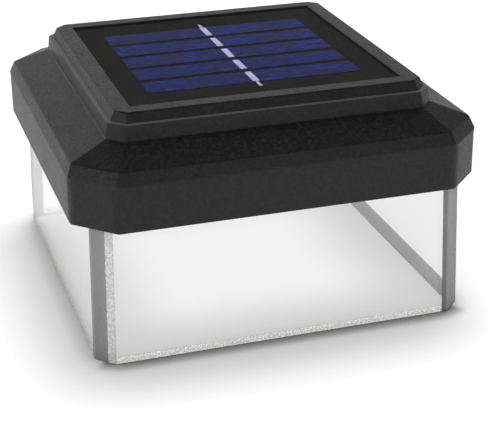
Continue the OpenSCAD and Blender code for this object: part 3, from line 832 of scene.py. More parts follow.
class Hand:
    """What a modeller does to a mesh in edit mode: select by place, then shape."""

    def __init__(self, obj: bpy.types.Object) -> None:
        """Works on an object that is in edit mode."""
        self.obj = obj

    def pick(self, kind: Kind, test: Test) -> None:
        """Selects what passes a test, and nothing else.

        Args:
            kind: Whether vertices, edges or faces are picked.
            test: Is given the middle of each and its normal, or an edge's direction.
        """
        mesh = bmesh.from_edit_mesh(self.obj.data)
        mesh.select_mode = {kind.value}
        for item in (*mesh.faces, *mesh.edges, *mesh.verts):
            item.select = False
        found = [item for item in self._items(mesh, kind) if test(*self._place(item, kind))]
        for item in found:
            item.select = True
        mesh.select_flush_mode()
        bmesh.update_edit_mesh(self.obj.data)
        bpy.context.tool_settings.mesh_select_mode = [kind is each for each in Kind]

    @staticmethod
    def _items(mesh: bmesh.types.BMesh, kind: Kind) -> Iterable[Any]:
        """The mesh's items of one kind."""
        return {Kind.VERT: mesh.verts, Kind.EDGE: mesh.edges, Kind.FACE: mesh.faces}[kind]

    @staticmethod
    def _place(item: Any, kind: Kind) -> tuple[Vector, Vector]:
        """Where an item is and which way it goes.

        Args:
            item: A vertex, edge or face.
            kind: Which of these it is.

        Returns:
            Its middle, and its normal or, for an edge, its direction.
        """
        if kind is Kind.VERT:
            return item.co, item.normal
        if kind is Kind.FACE:
            return item.calc_center_median(), item.normal
        low, high = (v.co for v in item.verts)
        return (low + high) / 2, (high - low).normalized()

    def pick_facing(self, way: Point) -> None:
        """Selects the faces that look one way."""
        self.pick(Kind.FACE, lambda at, normal: normal.dot(Vector(way)) > ALIGNED)

    def round_uprights(self, width: float, segments: int = 1, sides: Sequence[int] = (-1, 1)) -> None:
        """Bevels the upright edges.

        Args:
            width: The bevel's width.
            segments: How many flats it has.
            sides: The sides that it is done on: -1 for the left and 1 for the right.
        """
        self.pick(Kind.EDGE, lambda at, way: abs(way.z) > ALIGNED and math.copysign(1, at.x) in sides)
        self.soften(width, segments)

    def push(self, offset: Point) -> None:
        """Extrudes the picked faces by an offset."""
        bpy.ops.mesh.extrude_region_move(TRANSFORM_OT_translate={"value": offset})

    def slide(self, offset: Point) -> None:
        """Moves what is picked."""
        bpy.ops.transform.translate(value=offset)

    def scale(self, factors: Point, centre: Point = ORIGIN) -> None:
        """Scales what is picked about a centre."""
        bpy.ops.transform.resize(value=factors, center_override=centre)

    def inset(self, width: float, depth: float = 0.0) -> None:
        """Insets the picked faces, and sinks them by a depth."""
        bpy.ops.mesh.inset(thickness=width, depth=depth)

    def soften(self, width: float, segments: int = 1) -> None:
        """Bevels the picked edges."""
        bpy.ops.mesh.bevel(offset=width, segments=segments, affect="EDGES")

    def divide(self, cuts: int) -> None:
        """Subdivides what is picked."""
        bpy.ops.mesh.subdivide(number_cuts=cuts)

    def cut_below(self, height: float) -> None:
        """Cuts away all that lies under a height and closes the cut."""
        bpy.ops.mesh.select_all(action="SELECT")
        bpy.ops.mesh.bisect(
            plane_co=(0.0, 0.0, height), plane_no=UP, use_fill=True, clear_inner=True, threshold=0.001 * MM
        )

    def merge(self, distance: float = 0.001 * MM) -> None:
        """Merges doubles and turns the faces outwards.

        Args:
            distance: How far apart doubles may be.
        """
        bpy.ops.mesh.select_all(action="SELECT")
        bpy.ops.mesh.remove_doubles(threshold=distance)
        bpy.ops.mesh.normals_make_consistent(inside=False)


class Workpiece:
    """A solid on the bench: it starts as a primitive and is shaped, joined and softened."""

    def __init__(self, obj: bpy.types.Object, name: str) -> None:
        """Takes an object, names it and puts its place and size into its mesh.

        Args:
            obj: The object.
            name: The piece's name.
        """
        self.obj = obj
        obj.name = obj.data.name = name
        self._activate()
        bpy.ops.object.transform_apply(location=True, rotation=True, scale=True)

    def _activate(self) -> None:
        """Selects this object alone and makes it the active one."""
        bpy.ops.object.select_all(action="DESELECT")
        self.obj.select_set(True)
        bpy.context.view_layer.objects.active = self.obj

    @classmethod
    def block(cls, name: str, low: Point, high: Point) -> "Workpiece":
        """A box between two corners.

        Args:
            name: The piece's name.
            low: Its corner with the least X, Y and Z.
            high: Its corner with the greatest.

        Returns:
            The box.
        """
        middle = [(a + b) / 2 for a, b in zip(low, high)]
        size = [b - a for a, b in zip(low, high)]
        bpy.ops.mesh.primitive_cube_add(size=1, location=middle, scale=size)
        return cls(bpy.context.active_object, name)

    @classmethod
    def drum(cls, name: str, radius: float, low: Point, length: float, sides: int = 48) -> "Workpiece":
        """An upright cylinder that stands on a point.

        Args:
            name: The piece's name.
            radius: Its radius.
            low: The middle of its lower face.
            length: Its height.
            sides: How many sides it has.

        Returns:
            The cylinder.
        """
        middle = (low[0], low[1], low[2] + length / 2)
        bpy.ops.mesh.primitive_cylinder_add(vertices=sides, radius=radius, depth=length, location=middle)
        return cls(bpy.context.active_object, name)

    @classmethod
    def lying_drum(cls, name: str, radius: float, low: Point, length: float, sides: int = 64) -> "Workpiece":
        """A cylinder that lies along X and starts at a point.

        Args:
            name: The piece's name.
            radius: Its radius.
            low: The middle of its left face.
            length: Its length.
            sides: How many sides it has.

        Returns:
            The cylinder.
        """
        middle = (low[0] + length / 2, low[1], low[2])
        turn = (0.0, math.pi / 2, 0.0)
        bpy.ops.mesh.primitive_cylinder_add(
            vertices=sides, radius=radius, depth=length, location=middle, rotation=turn
        )
        return cls(bpy.context.active_object, name)

    @classmethod
    def like_node(cls, name: str, node: str, flat: float = 1.0) -> "Workpiece":
        """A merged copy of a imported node, to be softened.

        Args:
            name: The piece's name.
            node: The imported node.
            flat: The angle in degrees under which faces count as one flat.

        Returns:
            The copy.
        """
        source = frame["nodes"][node]
        copy = bpy.data.objects.new(name, source.data.copy())
        bpy.context.scene.collection.objects.link(copy)
        copy.data.materials.clear()
        piece = cls(copy, name)
        with piece.editing() as hand:
            hand.merge()
            bpy.ops.mesh.select_all(action="SELECT")
            bpy.ops.mesh.dissolve_limited(angle_limit=math.radians(flat))
        return piece

    @contextmanager
    def editing(self) -> Iterator[Hand]:
        """Edit mode on this piece for as long as the block lasts.

        Yields:
            The hand that works on it.
        """
        self._activate()
        bpy.ops.object.mode_set(mode="EDIT")
        bpy.ops.mesh.select_all(action="DESELECT")
        yield Hand(self.obj)
        bpy.ops.object.mode_set(mode="OBJECT")

    def combine(self, how: Mix, other: "Workpiece") -> "Workpiece":
        """Adds another solid or cuts it away, which uses it up.

        Args:
            how: What is done with the other solid.
            other: That solid.

        Returns:
            This piece.
        """
        self.modify("BOOLEAN", operation=how.value, object=other.obj, solver="EXACT")
        other.discard()
        return self

    def modify(self, kind: str, **settings: Any) -> "Workpiece":
        """Adds a modifier and applies it.

        Args:
            kind: The modifier's type.
            **settings: Its settings.

        Returns:
            This piece.
        """
        self._activate()
        modifier = self.obj.modifiers.new(kind.title(), kind)
        for name, value in settings.items():
            setattr(modifier, name, value)
        bpy.ops.object.modifier_apply(modifier=modifier.name)
        return self

    def weigh_edges(self, weight: Callable[[Vector, Vector], float]) -> "Workpiece":
        """Sets each edge's share of a bevel.

        Args:
            weight: Gives the share, 0 to 1, from the edge's middle and direction.

        Returns:
            This piece.
        """
        mesh = self.obj.data
        layer = mesh.attributes.new("bevel_weight_edge", "FLOAT", "EDGE")
        for edge, share in zip(mesh.edges, layer.data):
            low, high = (mesh.vertices[i].co for i in edge.vertices)
            share.value = weight((low + high) / 2, (high - low).normalized())
        return self

    def soften(self, width: float, segments: int = 2, angle: float = 30.0) -> "Workpiece":
        """Rounds every edge that is sharp.

        Args:
            width: The rounding's width.
            segments: How many flats it has.
            angle: The least angle of a sharp edge, in degrees.

        Returns:
            This piece.
        """
        return self.modify(
            "BEVEL",
            width=width,
            segments=segments,
            limit_method="ANGLE",
            angle_limit=math.radians(angle),
            use_clamp_overlap=True,
        )

    def soften_weighted(self, width: float, segments: int) -> "Workpiece":
        """Rounds every edge by its own share of a width."""
        return self.modify("BEVEL", width=width, segments=segments, limit_method="WEIGHT")

    def shade(self, angle: float = 32.0) -> "Workpiece":
        """Shades smooth wherever faces meet at less than an angle, with flat faces kept flat.

        Args:
            angle: That angle in degrees.

        Returns:
            This piece.
        """
        self._activate()
        bpy.ops.object.shade_smooth_by_angle(angle=math.radians(angle))
        return self.modify("WEIGHTED_NORMAL", weight=100, keep_sharp=True)

    def copy_to(self, name: str, offset: Point, flip: bool = False) -> "Workpiece":
        """A copy with its own mesh, moved to a place.

        Args:
            name: The copy's name.
            offset: How far it is moved.
            flip: Whether it is turned upside down first.

        Returns:
            The copy.
        """
        twin = bpy.data.objects.new(name, self.obj.data.copy())
        bpy.context.scene.collection.objects.link(twin)
        if flip:
            twin.rotation_euler = (math.pi, 0.0, 0.0)
        twin.location = offset
        return Workpiece(twin, name)

    def absorb(self, others: Sequence["Workpiece"], name: str) -> "Workpiece":
        """Joins other pieces into this one, where they stay separate solids.

        Args:
            others: The other pieces.
            name: The whole's name.

        Returns:
            This piece.
        """
        self._activate()
        for other in others:
            other.obj.select_set(True)
        bpy.ops.object.join()
        self.obj.name = self.obj.data.name = name
        return self

    def quarter_turn(self, turns: int) -> "Workpiece":
        """Turns the piece about the light's axis.

        Args:
            turns: The number of quarter turns.

        Returns:
            This piece.
        """
        self.obj.matrix_world = Matrix.Rotation(turns * math.pi / 2, 4, "Z")
        self._activate()
        bpy.ops.object.transform_apply(location=True, rotation=True, scale=True)
        return self

    def discard(self) -> None:
        """Takes the piece off the bench."""
        mesh = self.obj.data
        bpy.data.objects.remove(self.obj)
        bpy.data.meshes.remove(mesh)

    def add_finish(self, finish: Finish, test: Callable[[Vector], bool]) -> "Workpiece":
        """Gives some faces a second finish.

        Args:
            finish: That finish.
            test: Whether a face gets it, from its middle.

        Returns:
            This piece.
        """
        self.obj.data.materials.append(finish.material())
        for face in self.obj.data.polygons:
            if test(face.center):
                face.material_index = len(self.obj.data.materials) - 1
        return self

    def fit(self, body: Body, finish: Finish, slot: str, *nodes: str) -> bpy.types.Object:
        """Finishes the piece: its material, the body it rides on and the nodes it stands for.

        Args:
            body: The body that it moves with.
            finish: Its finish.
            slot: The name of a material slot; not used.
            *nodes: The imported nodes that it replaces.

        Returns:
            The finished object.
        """
        self.obj.data.materials.clear()
        self.obj.data.materials.append(finish.material())
        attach(self.obj, body.value)
        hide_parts(*nodes)
        log.info("%s: %d faces, stands for %s", self.obj.name, len(self.obj.data.polygons), ", ".join(nodes))
        return self.obj


@dataclass(frozen=True)
class Level:
    """One level of a tower: half its width, the leg of its cut corners and its height."""

    half: float
    leg: float
    z: float


def near(a: float, b: float, slack: float = 0.005 * MM) -> bool:
    """Whether two lengths are the same."""
    return abs(a - b) < slack


def tower(name: str, levels: Sequence[Level]) -> Workpiece:
    """A solid whose every level is a square with cut corners, extruded upwards level by level.

    Args:
        name: The piece's name.
        levels: Its levels, from the bottom up. Two at one height make a step.

    Returns:
        The solid.
    """
    first, second = levels[:2]
    piece = Workpiece.block(name, (-first.half, -first.half, first.z), (first.half, first.half, second.z))
    with piece.editing() as hand:
        hand.round_uprights(first.leg)
        for below, level in zip(levels, levels[1:]):
            hand.pick(Kind.FACE, lambda at, way: way.z > ALIGNED and at.xy.length < MM and at.z > first.z)
            if level is not second:
                hand.push((0.0, 0.0, level.z - below.z))
            grow = level.half / below.half
            hand.scale((grow, grow, 1.0))
            # The cut corners grew as well, so the straight sides are stretched until they are right.
            stretch = (level.half - level.leg) / (grow * (below.half - below.leg))
            for axis, factors in enumerate(((1.0, stretch, 1.0), (stretch, 1.0, 1.0))):
                hand.pick(Kind.VERT, lambda at, way: near(at.z, level.z) and near(abs(at[axis]), level.half))
                hand.scale(factors)
    return piece


def dress(finish: Finish, *nodes: str) -> None:
    """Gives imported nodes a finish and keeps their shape.

    Args:
        finish: The finish.
        *nodes: The nodes' names.
    """
    for node in nodes:
        slots = frame["nodes"][node].data.materials
        slots.clear()
        slots.append(finish.material())
        log.info("%s: packed shape, finish %s", node, finish.name)


def quarter_turned(at: Point, side: int) -> Point:
    """A point turned about the light's axis by a number of quarter turns."""
    turned = Matrix.Rotation(side * math.pi / 2, 4, "Z") @ Vector(at)
    return turned.x, turned.y, turned.z


def four_places(across: float, along: float, middle: Point = ORIGIN) -> list[Point]:
    """The corners of a level rectangle.

    Args:
        across: Half its width, along X.
        along: Half its depth, along Y.
        middle: Its middle.

    Returns:
        The corners, the left ones first and the front ones before the back ones.
    """
    x, y, z = middle
    return [(x + i * across, y + j * along, z) for i in (-1, 1) for j in (-1, 1)]


# ---------------------------------------------------------------------------------------------
# Sub-assemblies
# ---------------------------------------------------------------------------------------------


@dataclass(frozen=True)
class Lamp:
    """A soft round lamp that faces the object."""

    name: str
    at: Point
    width: float
    watts: float
    mirrored: bool

    def hang(self) -> None:
        """Hangs the lamp in its place."""
        data = bpy.data.lights.new(self.name, "AREA")
        data.shape = "DISK"
        data.size = self.width
        data.energy = self.watts
        lamp = bpy.data.objects.new(self.name, data)
        lamp.location = self.at
        lamp.rotation_euler = Vector(self.at).to_track_quat("Z", "Y").to_euler()
        lamp.visible_glossy = self.mirrored
        bpy.context.scene.collection.objects.link(lamp)


@dataclass
class Studio:
    """Camera, light and floor.

    The ceiling is darker than the room and starts lower in the east. The floor carries a painted
    contact shadow where the object stands, fades to plain white far away, and shows a painted grey
    shadow band through the clear skirt.
    """

    eye: Point = (-118.7 * MM, -396.8 * MM, 198.2 * MM)
    yaw: float = 17.53
    pitch: float = 23.66
    roll: float = -0.52
    lens: float = 101.86
    sensor: float = 36.0
    clip: float = 10 * MM
    light: Colour = (0.5, 0.5, 0.5)
    room: Colour = (0.95, 0.95, 0.95)
    ceiling: Colour = (0.22, 0.22, 0.22)
    ceiling_span: Span = (0.385, 0.645)
    east_from: float = 0.32
    east_drop: float = 0.8
    lamps: tuple[Lamp, ...] = (
        Lamp("top_lamp", at=(0.2, 0.36, 1.8), width=0.9, watts=18.0, mirrored=False),
        Lamp("side_lamp", at=(-0.9, -0.29, 0.39), width=0.4, watts=0.8, mirrored=True),
    )
    floor_radius: float = 4.0
    floor_z: float = -0.05 * MM
    floor_colour: Colour = (0.88, 0.88, 0.88)
    floor_glow: float = 0.23
    paper_size: float = 40 * MM
    paper_rough: float = 0.9
    paper_swing: float = 0.05
    contact_shadow: Colour = (0.05, 0.05, 0.05)
    contact: float = 6 * MM
    contact_samples: int = 8
    side_contact: float = 0.6
    front_contact: float = 3.0
    front_edge: float = 2 * MM
    fade: Span = (0.35, 1.1)
    floor_through: float = 0.92
    foot: float = 55.7 * MM
    foot_in: float = 36 * MM
    foot_out: float = 5.4 * MM
    foot_shadow: Colour = (0.62, 0.62, 0.62)
    foot_white: Colour = (0.93, 0.93, 0.93)

    def build(self) -> None:
        """Sets up the camera, the light and the floor."""
        bpy.context.scene.view_settings.view_transform = "Standard"
        self.set_camera()
        self.light_room()
        for lamp in self.lamps:
            lamp.hang()
        self.lay_floor()

    def set_camera(self) -> None:
        """Stands the camera where the photograph was taken from."""
        yaw, pitch, roll = (math.radians(angle) for angle in (self.yaw, self.pitch, self.roll))
        turn = (
            Matrix.Rotation(-yaw, 4, "Z")
            @ Matrix.Rotation(math.pi / 2 - pitch, 4, "X")
            @ Matrix.Rotation(roll, 4, "Z")
        )
        data = bpy.data.cameras.new("camera")
        data.lens = self.lens
        data.sensor_width = self.sensor
        data.clip_start = self.clip
        camera = bpy.data.objects.new("camera", data)
        camera.matrix_world = Matrix.Translation(self.eye) @ turn
        bpy.context.scene.collection.objects.link(camera)
        bpy.context.scene.camera = camera

    def light_room(self) -> None:
        """Lights the object evenly, shows a white room and mirrors a darker ceiling."""
        world = bpy.data.worlds.new("studio")
        world.use_nodes = True
        bpy.context.scene.world = world
        graph = Graph(world.node_tree)
        way = graph.node("ShaderNodeTexCoord", output="Generated")
        east, up = (graph.axis(name, way) for name in "XZ")
        height = up + self.east_drop * (east - self.east_from).either(0.0)
        mirrored = graph.blend(height.rise(*self.ceiling_span), self.room, self.ceiling)
        colour = graph.blend(self.ray(graph, "Glossy"), self.light, mirrored)
        straight = self.ray(graph, "Camera").either(self.ray(graph, "Transmission"))
        colour = graph.blend(straight, colour, WHITE)
        graph.out(graph.node("ShaderNodeBackground", inputs={"Color": colour}), "ShaderNodeOutputWorld")

    @staticmethod
    def ray(graph: Graph, way: str) -> Signal:
        """1 where a ray of one kind looks: "Camera", "Glossy" or "Transmission"."""
        return graph.node("ShaderNodeLightPath", output=f"Is {way} Ray")

    def lay_floor(self) -> None:
        """Lays a white floor that keeps the object's shadow and isn't there from below."""
        bpy.ops.mesh.primitive_circle_add(
            vertices=64, radius=self.floor_radius, fill_type="NGON", location=(0.0, 0.0, self.floor_z)
        )
        floor = bpy.context.active_object
        floor.name = "floor"
        material = bpy.data.materials.new("floor_white")
        material.use_nodes = True
        graph = Graph(material.node_tree)
        through = self.ray(graph, "Transmission") * self.floor_through
        lit = graph.mix(through, self.paper(graph), self.seen_through(graph))
        reach = graph.node("ShaderNodeVectorMath", {"operation": "LENGTH"}, {0: graph.place()}, "Value")
        far = reach.rise(*self.fade) * self.ray(graph, "Camera")
        lit = graph.mix(far, lit, graph.glow())
        underneath = graph.node("ShaderNodeNewGeometry", output="Backfacing")
        graph.out(graph.mix(underneath, lit, graph.node("ShaderNodeBsdfTransparent")))
        floor.data.materials.append(material)

    def paper(self, graph: Graph) -> Signal:
        """White paper with a painted contact shadow where the object stands, deeper before its front.

        Args:
            graph: The floor's graph.

        Returns:
            The paper's shader.
        """
        grain = graph.noise(self.paper_size)
        white = graph.surface(
            Base_Color=self.floor_colour,
            Roughness=self.paper_rough + self.paper_swing * grain,
            Specular_IOR_Level=0.0,
        )
        seen = self.ray(graph, "Camera").either(self.ray(graph, "Glossy"))
        glow = graph.glow(strength=seen * self.floor_glow)
        white = graph.node("ShaderNodeAddShader", inputs={0: white, 1: glow})
        # Painted contact shadow from ambient occlusion, deeper before the front.
        settings, inputs = {"samples": self.contact_samples}, {"Distance": self.contact}
        open_sky = graph.node("ShaderNodeAmbientOcclusion", settings, inputs, "AO")
        before = 0.0 - graph.axis("Y") - abs(graph.axis("X"))
        power = before.rise(-self.front_edge, self.front_edge, self.side_contact, self.front_contact)
        contact_shadow = graph.node("ShaderNodeBsdfDiffuse", inputs={"Color": (*self.contact_shadow, 1.0)})
        return graph.mix(open_sky.math("POWER", open_sky, power), contact_shadow, white)

    def seen_through(self, graph: Graph) -> Signal:
        """What the skirt shows of the floor: white, with a painted soft grey shadow along its foot.

        Args:
            graph: The floor's graph.

        Returns:
            Its shader.
        """
        # Painted shadow along the skirt's foot, inside and just outside it.
        across, along = (abs(graph.axis(name)) - self.foot for name in "XY")
        middle = across.rise(0.0, -self.foot_in) * along.rise(0.0, -self.foot_in)
        outside = across.either(along).rise(0.0, self.foot_out)
        return graph.glow(graph.blend(middle.either(outside), self.foot_shadow, self.foot_white))


@dataclass
class Cap:
    """The black cap: outer shell, hollow, screw bosses and the panel's recess."""

    outside: tuple[Level, ...] = (
        Level(60.0 * MM, 11.0 * MM, 41.4 * MM),
        Level(60.0 * MM, 11.0 * MM, 54.8 * MM),
        Level(58.5 * MM, 11.0 * MM, 58.5 * MM),
        Level(47.8 * MM, 4.3 * MM, 62.7 * MM),
        Level(47.3 * MM, 4.3 * MM, 67.2 * MM),
        Level(46.15 * MM, 3.7 * MM, 67.25 * MM),
        Level(44.8 * MM, 2.84 * MM, 70.0 * MM),
    )
    hollow: tuple[Level, ...] = (
        Level(57.6 * MM, 9.594 * MM, 41.0 * MM),
        Level(57.6 * MM, 9.594 * MM, 49.4 * MM),
        Level(56.1 * MM, 8.715 * MM, 49.4 * MM),
        Level(56.1 * MM, 8.715 * MM, 56.8 * MM),
        Level(45.4 * MM, 2.894 * MM, 61.06 * MM),
        Level(45.4 * MM, 2.894 * MM, 64.9 * MM),
    )
    recess_half: float = 39.9 * MM
    recess_floor: float = 67.0 * MM
    boss_at: float = 41.0 * MM
    boss_radius: float = 3.5 * MM
    boss_low: float = 48.4 * MM
    pilot_radius: float = 1.5 * MM
    pilot_length: float = 8.0 * MM
    wire_hole: Point = (-8.0 * MM, -15.55 * MM, 64.0 * MM)
    wire_hole_radius: float = 4.0 * MM
    wire_hole_length: float = 5.0 * MM
    ledge: float = 67.22 * MM
    edge_width: float = 1.8 * MM
    edge_segments: int = 4
    crisp_share: float = 0.22
    lip_share: float = 0.154
    ledge_share: float = 0.05

    def build(self) -> None:
        """Models the cap and stands it in for its node."""
        shell = tower("cap", self.outside)
        hollow = tower("hollow", self.hollow)
        top, places = self.outside[-1].z, four_places(self.boss_at, self.boss_at)
        for x, y, _ in places:
            boss = Workpiece.drum("boss", self.boss_radius, (x, y, self.boss_low), top - self.boss_low)
            hollow.combine(Mix.CUT, boss)
        shell.combine(Mix.CUT, hollow)
        for x, y, _ in places:
            start, length = (x, y, self.boss_low - OVERCUT), self.pilot_length + OVERCUT
            shell.combine(Mix.CUT, Workpiece.drum("pilot", self.pilot_radius, start, length, sides=24))
        half = self.recess_half
        recess = Workpiece.block("recess", (-half, -half, self.recess_floor), (half, half, top + OVERCUT))
        shell.combine(Mix.CUT, recess)
        radius, length = self.wire_hole_radius, self.wire_hole_length
        shell.combine(Mix.CUT, Workpiece.drum("wire_hole", radius, self.wire_hole, length, sides=32))
        shell.weigh_edges(self.edge_share).soften_weighted(self.edge_width, self.edge_segments)
        shell.shade().fit(Body.LIGHT, CAP_BLACK, "cap_plastic", "cap_shell")

    def edge_share(self, at: Vector, way: Vector) -> float:
        """How much of the full rounding an edge gets.

        Args:
            at: The edge's middle.
            way: Its direction.

        Returns:
            1 on the wall's upright edges, little on the other outer ones and 0 inside.
        """
        if not self.is_outside(at):
            lip = near(at.z, self.outside[-1].z) or near(at.z, self.outside[0].z)
            return self.lip_share if lip else 0.0
        if near(at.z, self.ledge, 0.1 * MM):
            return self.ledge_share
        upright = abs(way.z) > ALIGNED and at.z < self.outside[1].z
        return 1.0 if upright else self.crisp_share

    def is_outside(self, at: Vector, slack: float = 0.05 * MM) -> bool:
        """Whether a point lies on the cap's outer surface.

        Args:
            at: The point.
            slack: How far off it may be.

        Returns:
            True if it does.
        """
        reach = max(abs(at.x), abs(at.y))
        across = abs(at.x) + abs(at.y)
        for low, high in zip(self.outside, self.outside[1:]):
            if low.z - slack / 5 <= at.z <= high.z + slack / 5:
                share = (at.z - low.z) / (high.z - low.z)
                half = low.half + share * (high.half - low.half)
                leg = low.leg + share * (high.leg - low.leg)
                if near(reach, half, slack) or near(across, 2 * half - leg, slack):
                    return True
        return False


@dataclass
class Skirt:
    """The clear skirt with its four ears."""

    half_low: float = 55.7 * MM
    flare: float = 1.1 * MM
    height: float = 46.0 * MM
    wall: float = 2.8 * MM
    corner: float = 4.8 * MM
    inner_corner: float = 1.9 * MM
    ear_half: float = 7.0 * MM
    ear_in: float = 41.8 * MM
    ear_low: float = 42.0 * MM
    screw_at: float = 46.3 * MM
    shank_radius: float = 1.7 * MM
    shank_length: float = 10.0 * MM
    head_radius: float = 2.95 * MM
    head_depth: float = 2.0 * MM
    soft_edge: float = 0.3 * MM

    def build(self) -> None:
        """Models the skirt and stands it in for its node."""
        low, top = self.half_low, self.half_low - self.flare
        skirt = tower("skirt", (Level(low, self.corner, 0.0), Level(top, self.corner, self.height)))
        rise = self.flare / self.height * OVERCUT
        inside = (
            Level(low - self.wall + rise, self.inner_corner, -OVERCUT),
            Level(top - self.wall - rise, self.inner_corner, self.height + OVERCUT),
        )
        skirt.combine(Mix.CUT, tower("inside", inside))
        for side in range(4):
            skirt.combine(Mix.ADD, self.ear(side, top - self.wall / 2))
        for side in range(4):
            x, y, _ = quarter_turned((0.0, -self.screw_at, 0.0), side)
            start, depth = (x, y, self.ear_low - OVERCUT), self.head_depth + OVERCUT
            shank = Workpiece.drum("shank", self.shank_radius, start, self.shank_length, sides=32)
            skirt.combine(Mix.CUT, shank)
            head = Workpiece.drum("head", self.head_radius, start, depth, sides=32)
            skirt.combine(Mix.CUT, head)
        skirt.soften(self.soft_edge).shade()
        finish = ClearPlastic("clear_skirt", self.half_low, self.flare, self.height, self.corner)
        skirt.fit(Body.LIGHT, finish, "clear_plastic", "clear_skirt")

    def ear(self, side: int, reach: float) -> Workpiece:
        """A screw ear on one side.

        Args:
            side: The side, as quarter turns from the front.
            reach: How far the ear reaches out into the wall.

        Returns:
            The ear.
        """
        ends = (-self.ear_half, -reach, self.ear_low), (self.ear_half, -self.ear_in, self.height)
        pairs = list(zip(*(quarter_turned(end, side) for end in ends)))
        return Workpiece.block("ear", tuple(map(min, pairs)), tuple(map(max, pairs)))


@dataclass
class SolarPanel:
    """The panel: foam pad, board, five cell strips with their contacts, and the resin over them.

    `drift` is how far each strip lies off its place, and there is one strip for each of its values.
    The ribbon's tail drops by a share of a strip's thickness once it is past the strips.
    """

    half: float = 39.7 * MM
    board_top: float = 69.1 * MM
    top: float = 69.7 * MM
    strip_length: float = 64.2 * MM
    strip_width: float = 10.12 * MM
    strip_pitch: float = 12.02 * MM
    strip_thickness: float = 0.14 * MM
    strip_round: float = 0.7 * MM
    strip_nip: float = 0.3 * MM
    strip_edge: float = 0.05 * MM
    pad_width: float = 1.9 * MM
    pad_length: float = 8.72 * MM
    pad_round: float = 0.3 * MM
    pad_edge: float = 0.03 * MM
    foil: float = 0.1 * MM
    tail_width: float = 0.8 * MM
    tail_length: float = 3.4 * MM
    tail_lap: float = 0.9 * MM
    tail_cuts: int = 6
    tail_step: float = 0.1 * MM
    tail_drop: float = 0.8
    back_tip: float = 0.1
    front_tip: float = 0.7
    solder_radius: float = 0.6 * MM
    solder_shape: Point = (1.0, 1.3, 0.45)
    solder_in: float = 0.3 * MM
    solder_up: float = 0.1 * MM
    resin_thickness: float = 0.2 * MM
    resin_round: float = 0.4 * MM
    resin_edge: float = 0.08 * MM
    drift: tuple[float, ...] = (0.03 * MM, -0.05 * MM, 0.04 * MM, -0.02 * MM, 0.05 * MM)

    def build(self) -> None:
        """Models what lies on the board and dresses the rest."""
        self.build_strips()
        self.build_contacts()
        self.build_resin()
        dress(PANEL_BLACK, "panel_board")
        dress(FOAM, "panel_pad")

    def strip_y(self, number: int) -> float:
        """The middle of a strip, counted from the front."""
        return (number - (len(self.drift) - 1) / 2) * self.strip_pitch

    def build_strips(self) -> None:
        """Models one strip with rounded corners and lays five of them."""
        length, width = self.strip_length / 2, self.strip_width / 2
        first = Workpiece.block("cell_strips", (-length, -width, 0.0), (length, width, self.strip_thickness))
        with first.editing() as hand:
            hand.round_uprights(self.strip_round, segments=4, sides=(1,))
            hand.round_uprights(self.strip_nip, segments=3, sides=(-1,))
        first.soften(self.strip_edge, segments=1, angle=60.0)
        rows = [
            first.copy_to(f"strip_{i}", (shift, self.strip_y(i) + shift / 2, self.board_top))
            for i, shift in enumerate(self.drift)
        ]
        first.discard()
        rows[0].absorb(rows[1:], "cell_strips").shade()
        rows[0].fit(Body.LIGHT, CELL_BLUE, "cell_blue", "solar_cells")

    def build_contacts(self) -> None:
        """Models a contact pad and copies it to each strip, with a ribbon tail at both ends."""
        width, length = self.pad_width / 2, self.pad_length / 2
        low = self.board_top + self.strip_thickness
        pad = Workpiece.block("pad", (-width, -length, 0.0), (width, length, self.foil))
        with pad.editing() as hand:
            hand.round_uprights(self.pad_round, segments=3)
        pad.soften(self.pad_edge, segments=1, angle=60.0)
        pads = [pad.copy_to(f"pad_{i}", (0.0, self.strip_y(i), low)) for i in range(len(self.drift))]
        pad.discard()
        ends = [*self.front_tail(), self.tail(self.back_tip)]
        pads[0].absorb(pads[1:] + ends, "cell_contacts").shade(angle=60.0)
        pads[0].fit(Body.LIGHT, TIN_PAD, "tinned_ribbon", "cell_ribbons")
        pads[0].add_finish(SOLDER, lambda at: abs(at.y) > self.cells_end() + self.tail_step)

    def cells_end(self) -> float:
        """How far the strips reach to the front and back."""
        return self.strip_y(len(self.drift) - 1) + self.strip_width / 2

    def tail(self, tip: float) -> Workpiece:
        """The thin ribbon that leaves the strips at the back and comes down to the board.

        Args:
            tip: The width of its end, as a share of its own.

        Returns:
            The ribbon.
        """
        width = self.tail_width / 2
        start, end = self.cells_end() - self.tail_lap, self.cells_end() + self.tail_length
        low = self.board_top + self.strip_thickness
        tail = Workpiece.block("tail", (-width, start, low), (width, end, low + self.foil))
        with tail.editing() as hand:
            hand.pick(Kind.EDGE, lambda at, way: abs(way.y) > ALIGNED)
            hand.divide(self.tail_cuts)
            hand.pick(Kind.VERT, lambda at, way: at.y > self.cells_end() + self.tail_step)
            hand.slide((0.0, 0.0, -self.tail_drop * self.strip_thickness))
            hand.pick(Kind.FACE, lambda at, way: way.y > ALIGNED and near(at.y, end))
            hand.scale((tip, 1.0, 1.0))
        return tail

    def front_tail(self) -> tuple[Workpiece, Workpiece]:
        """The ribbon that leaves the strips at the front, and the solder on its end.

        Returns:
            The ribbon and the solder.
        """
        tail = self.tail(self.front_tip)
        end = self.cells_end() + self.tail_length
        bpy.ops.mesh.primitive_uv_sphere_add(
            segments=24,
            ring_count=12,
            radius=self.solder_radius,
            location=(0.0, end - self.solder_in, self.board_top + self.solder_up),
            scale=self.solder_shape,
        )
        solder = Workpiece(bpy.context.active_object, "solder")
        with solder.editing() as hand:
            hand.cut_below(self.board_top)
        return tail.quarter_turn(2), solder.quarter_turn(2)

    def build_resin(self) -> None:
        """Models the thin clear layer over the cells."""
        low = self.top - self.resin_thickness
        resin = Workpiece.block("resin", (-self.half, -self.half, low), (self.half, self.half, self.top))
        with resin.editing() as hand:
            hand.round_uprights(self.resin_round, segments=3)
        resin.soften(self.resin_edge, angle=60.0).shade()
        resin.fit(Body.LIGHT, RESIN, "clear_resin", "panel_resin")


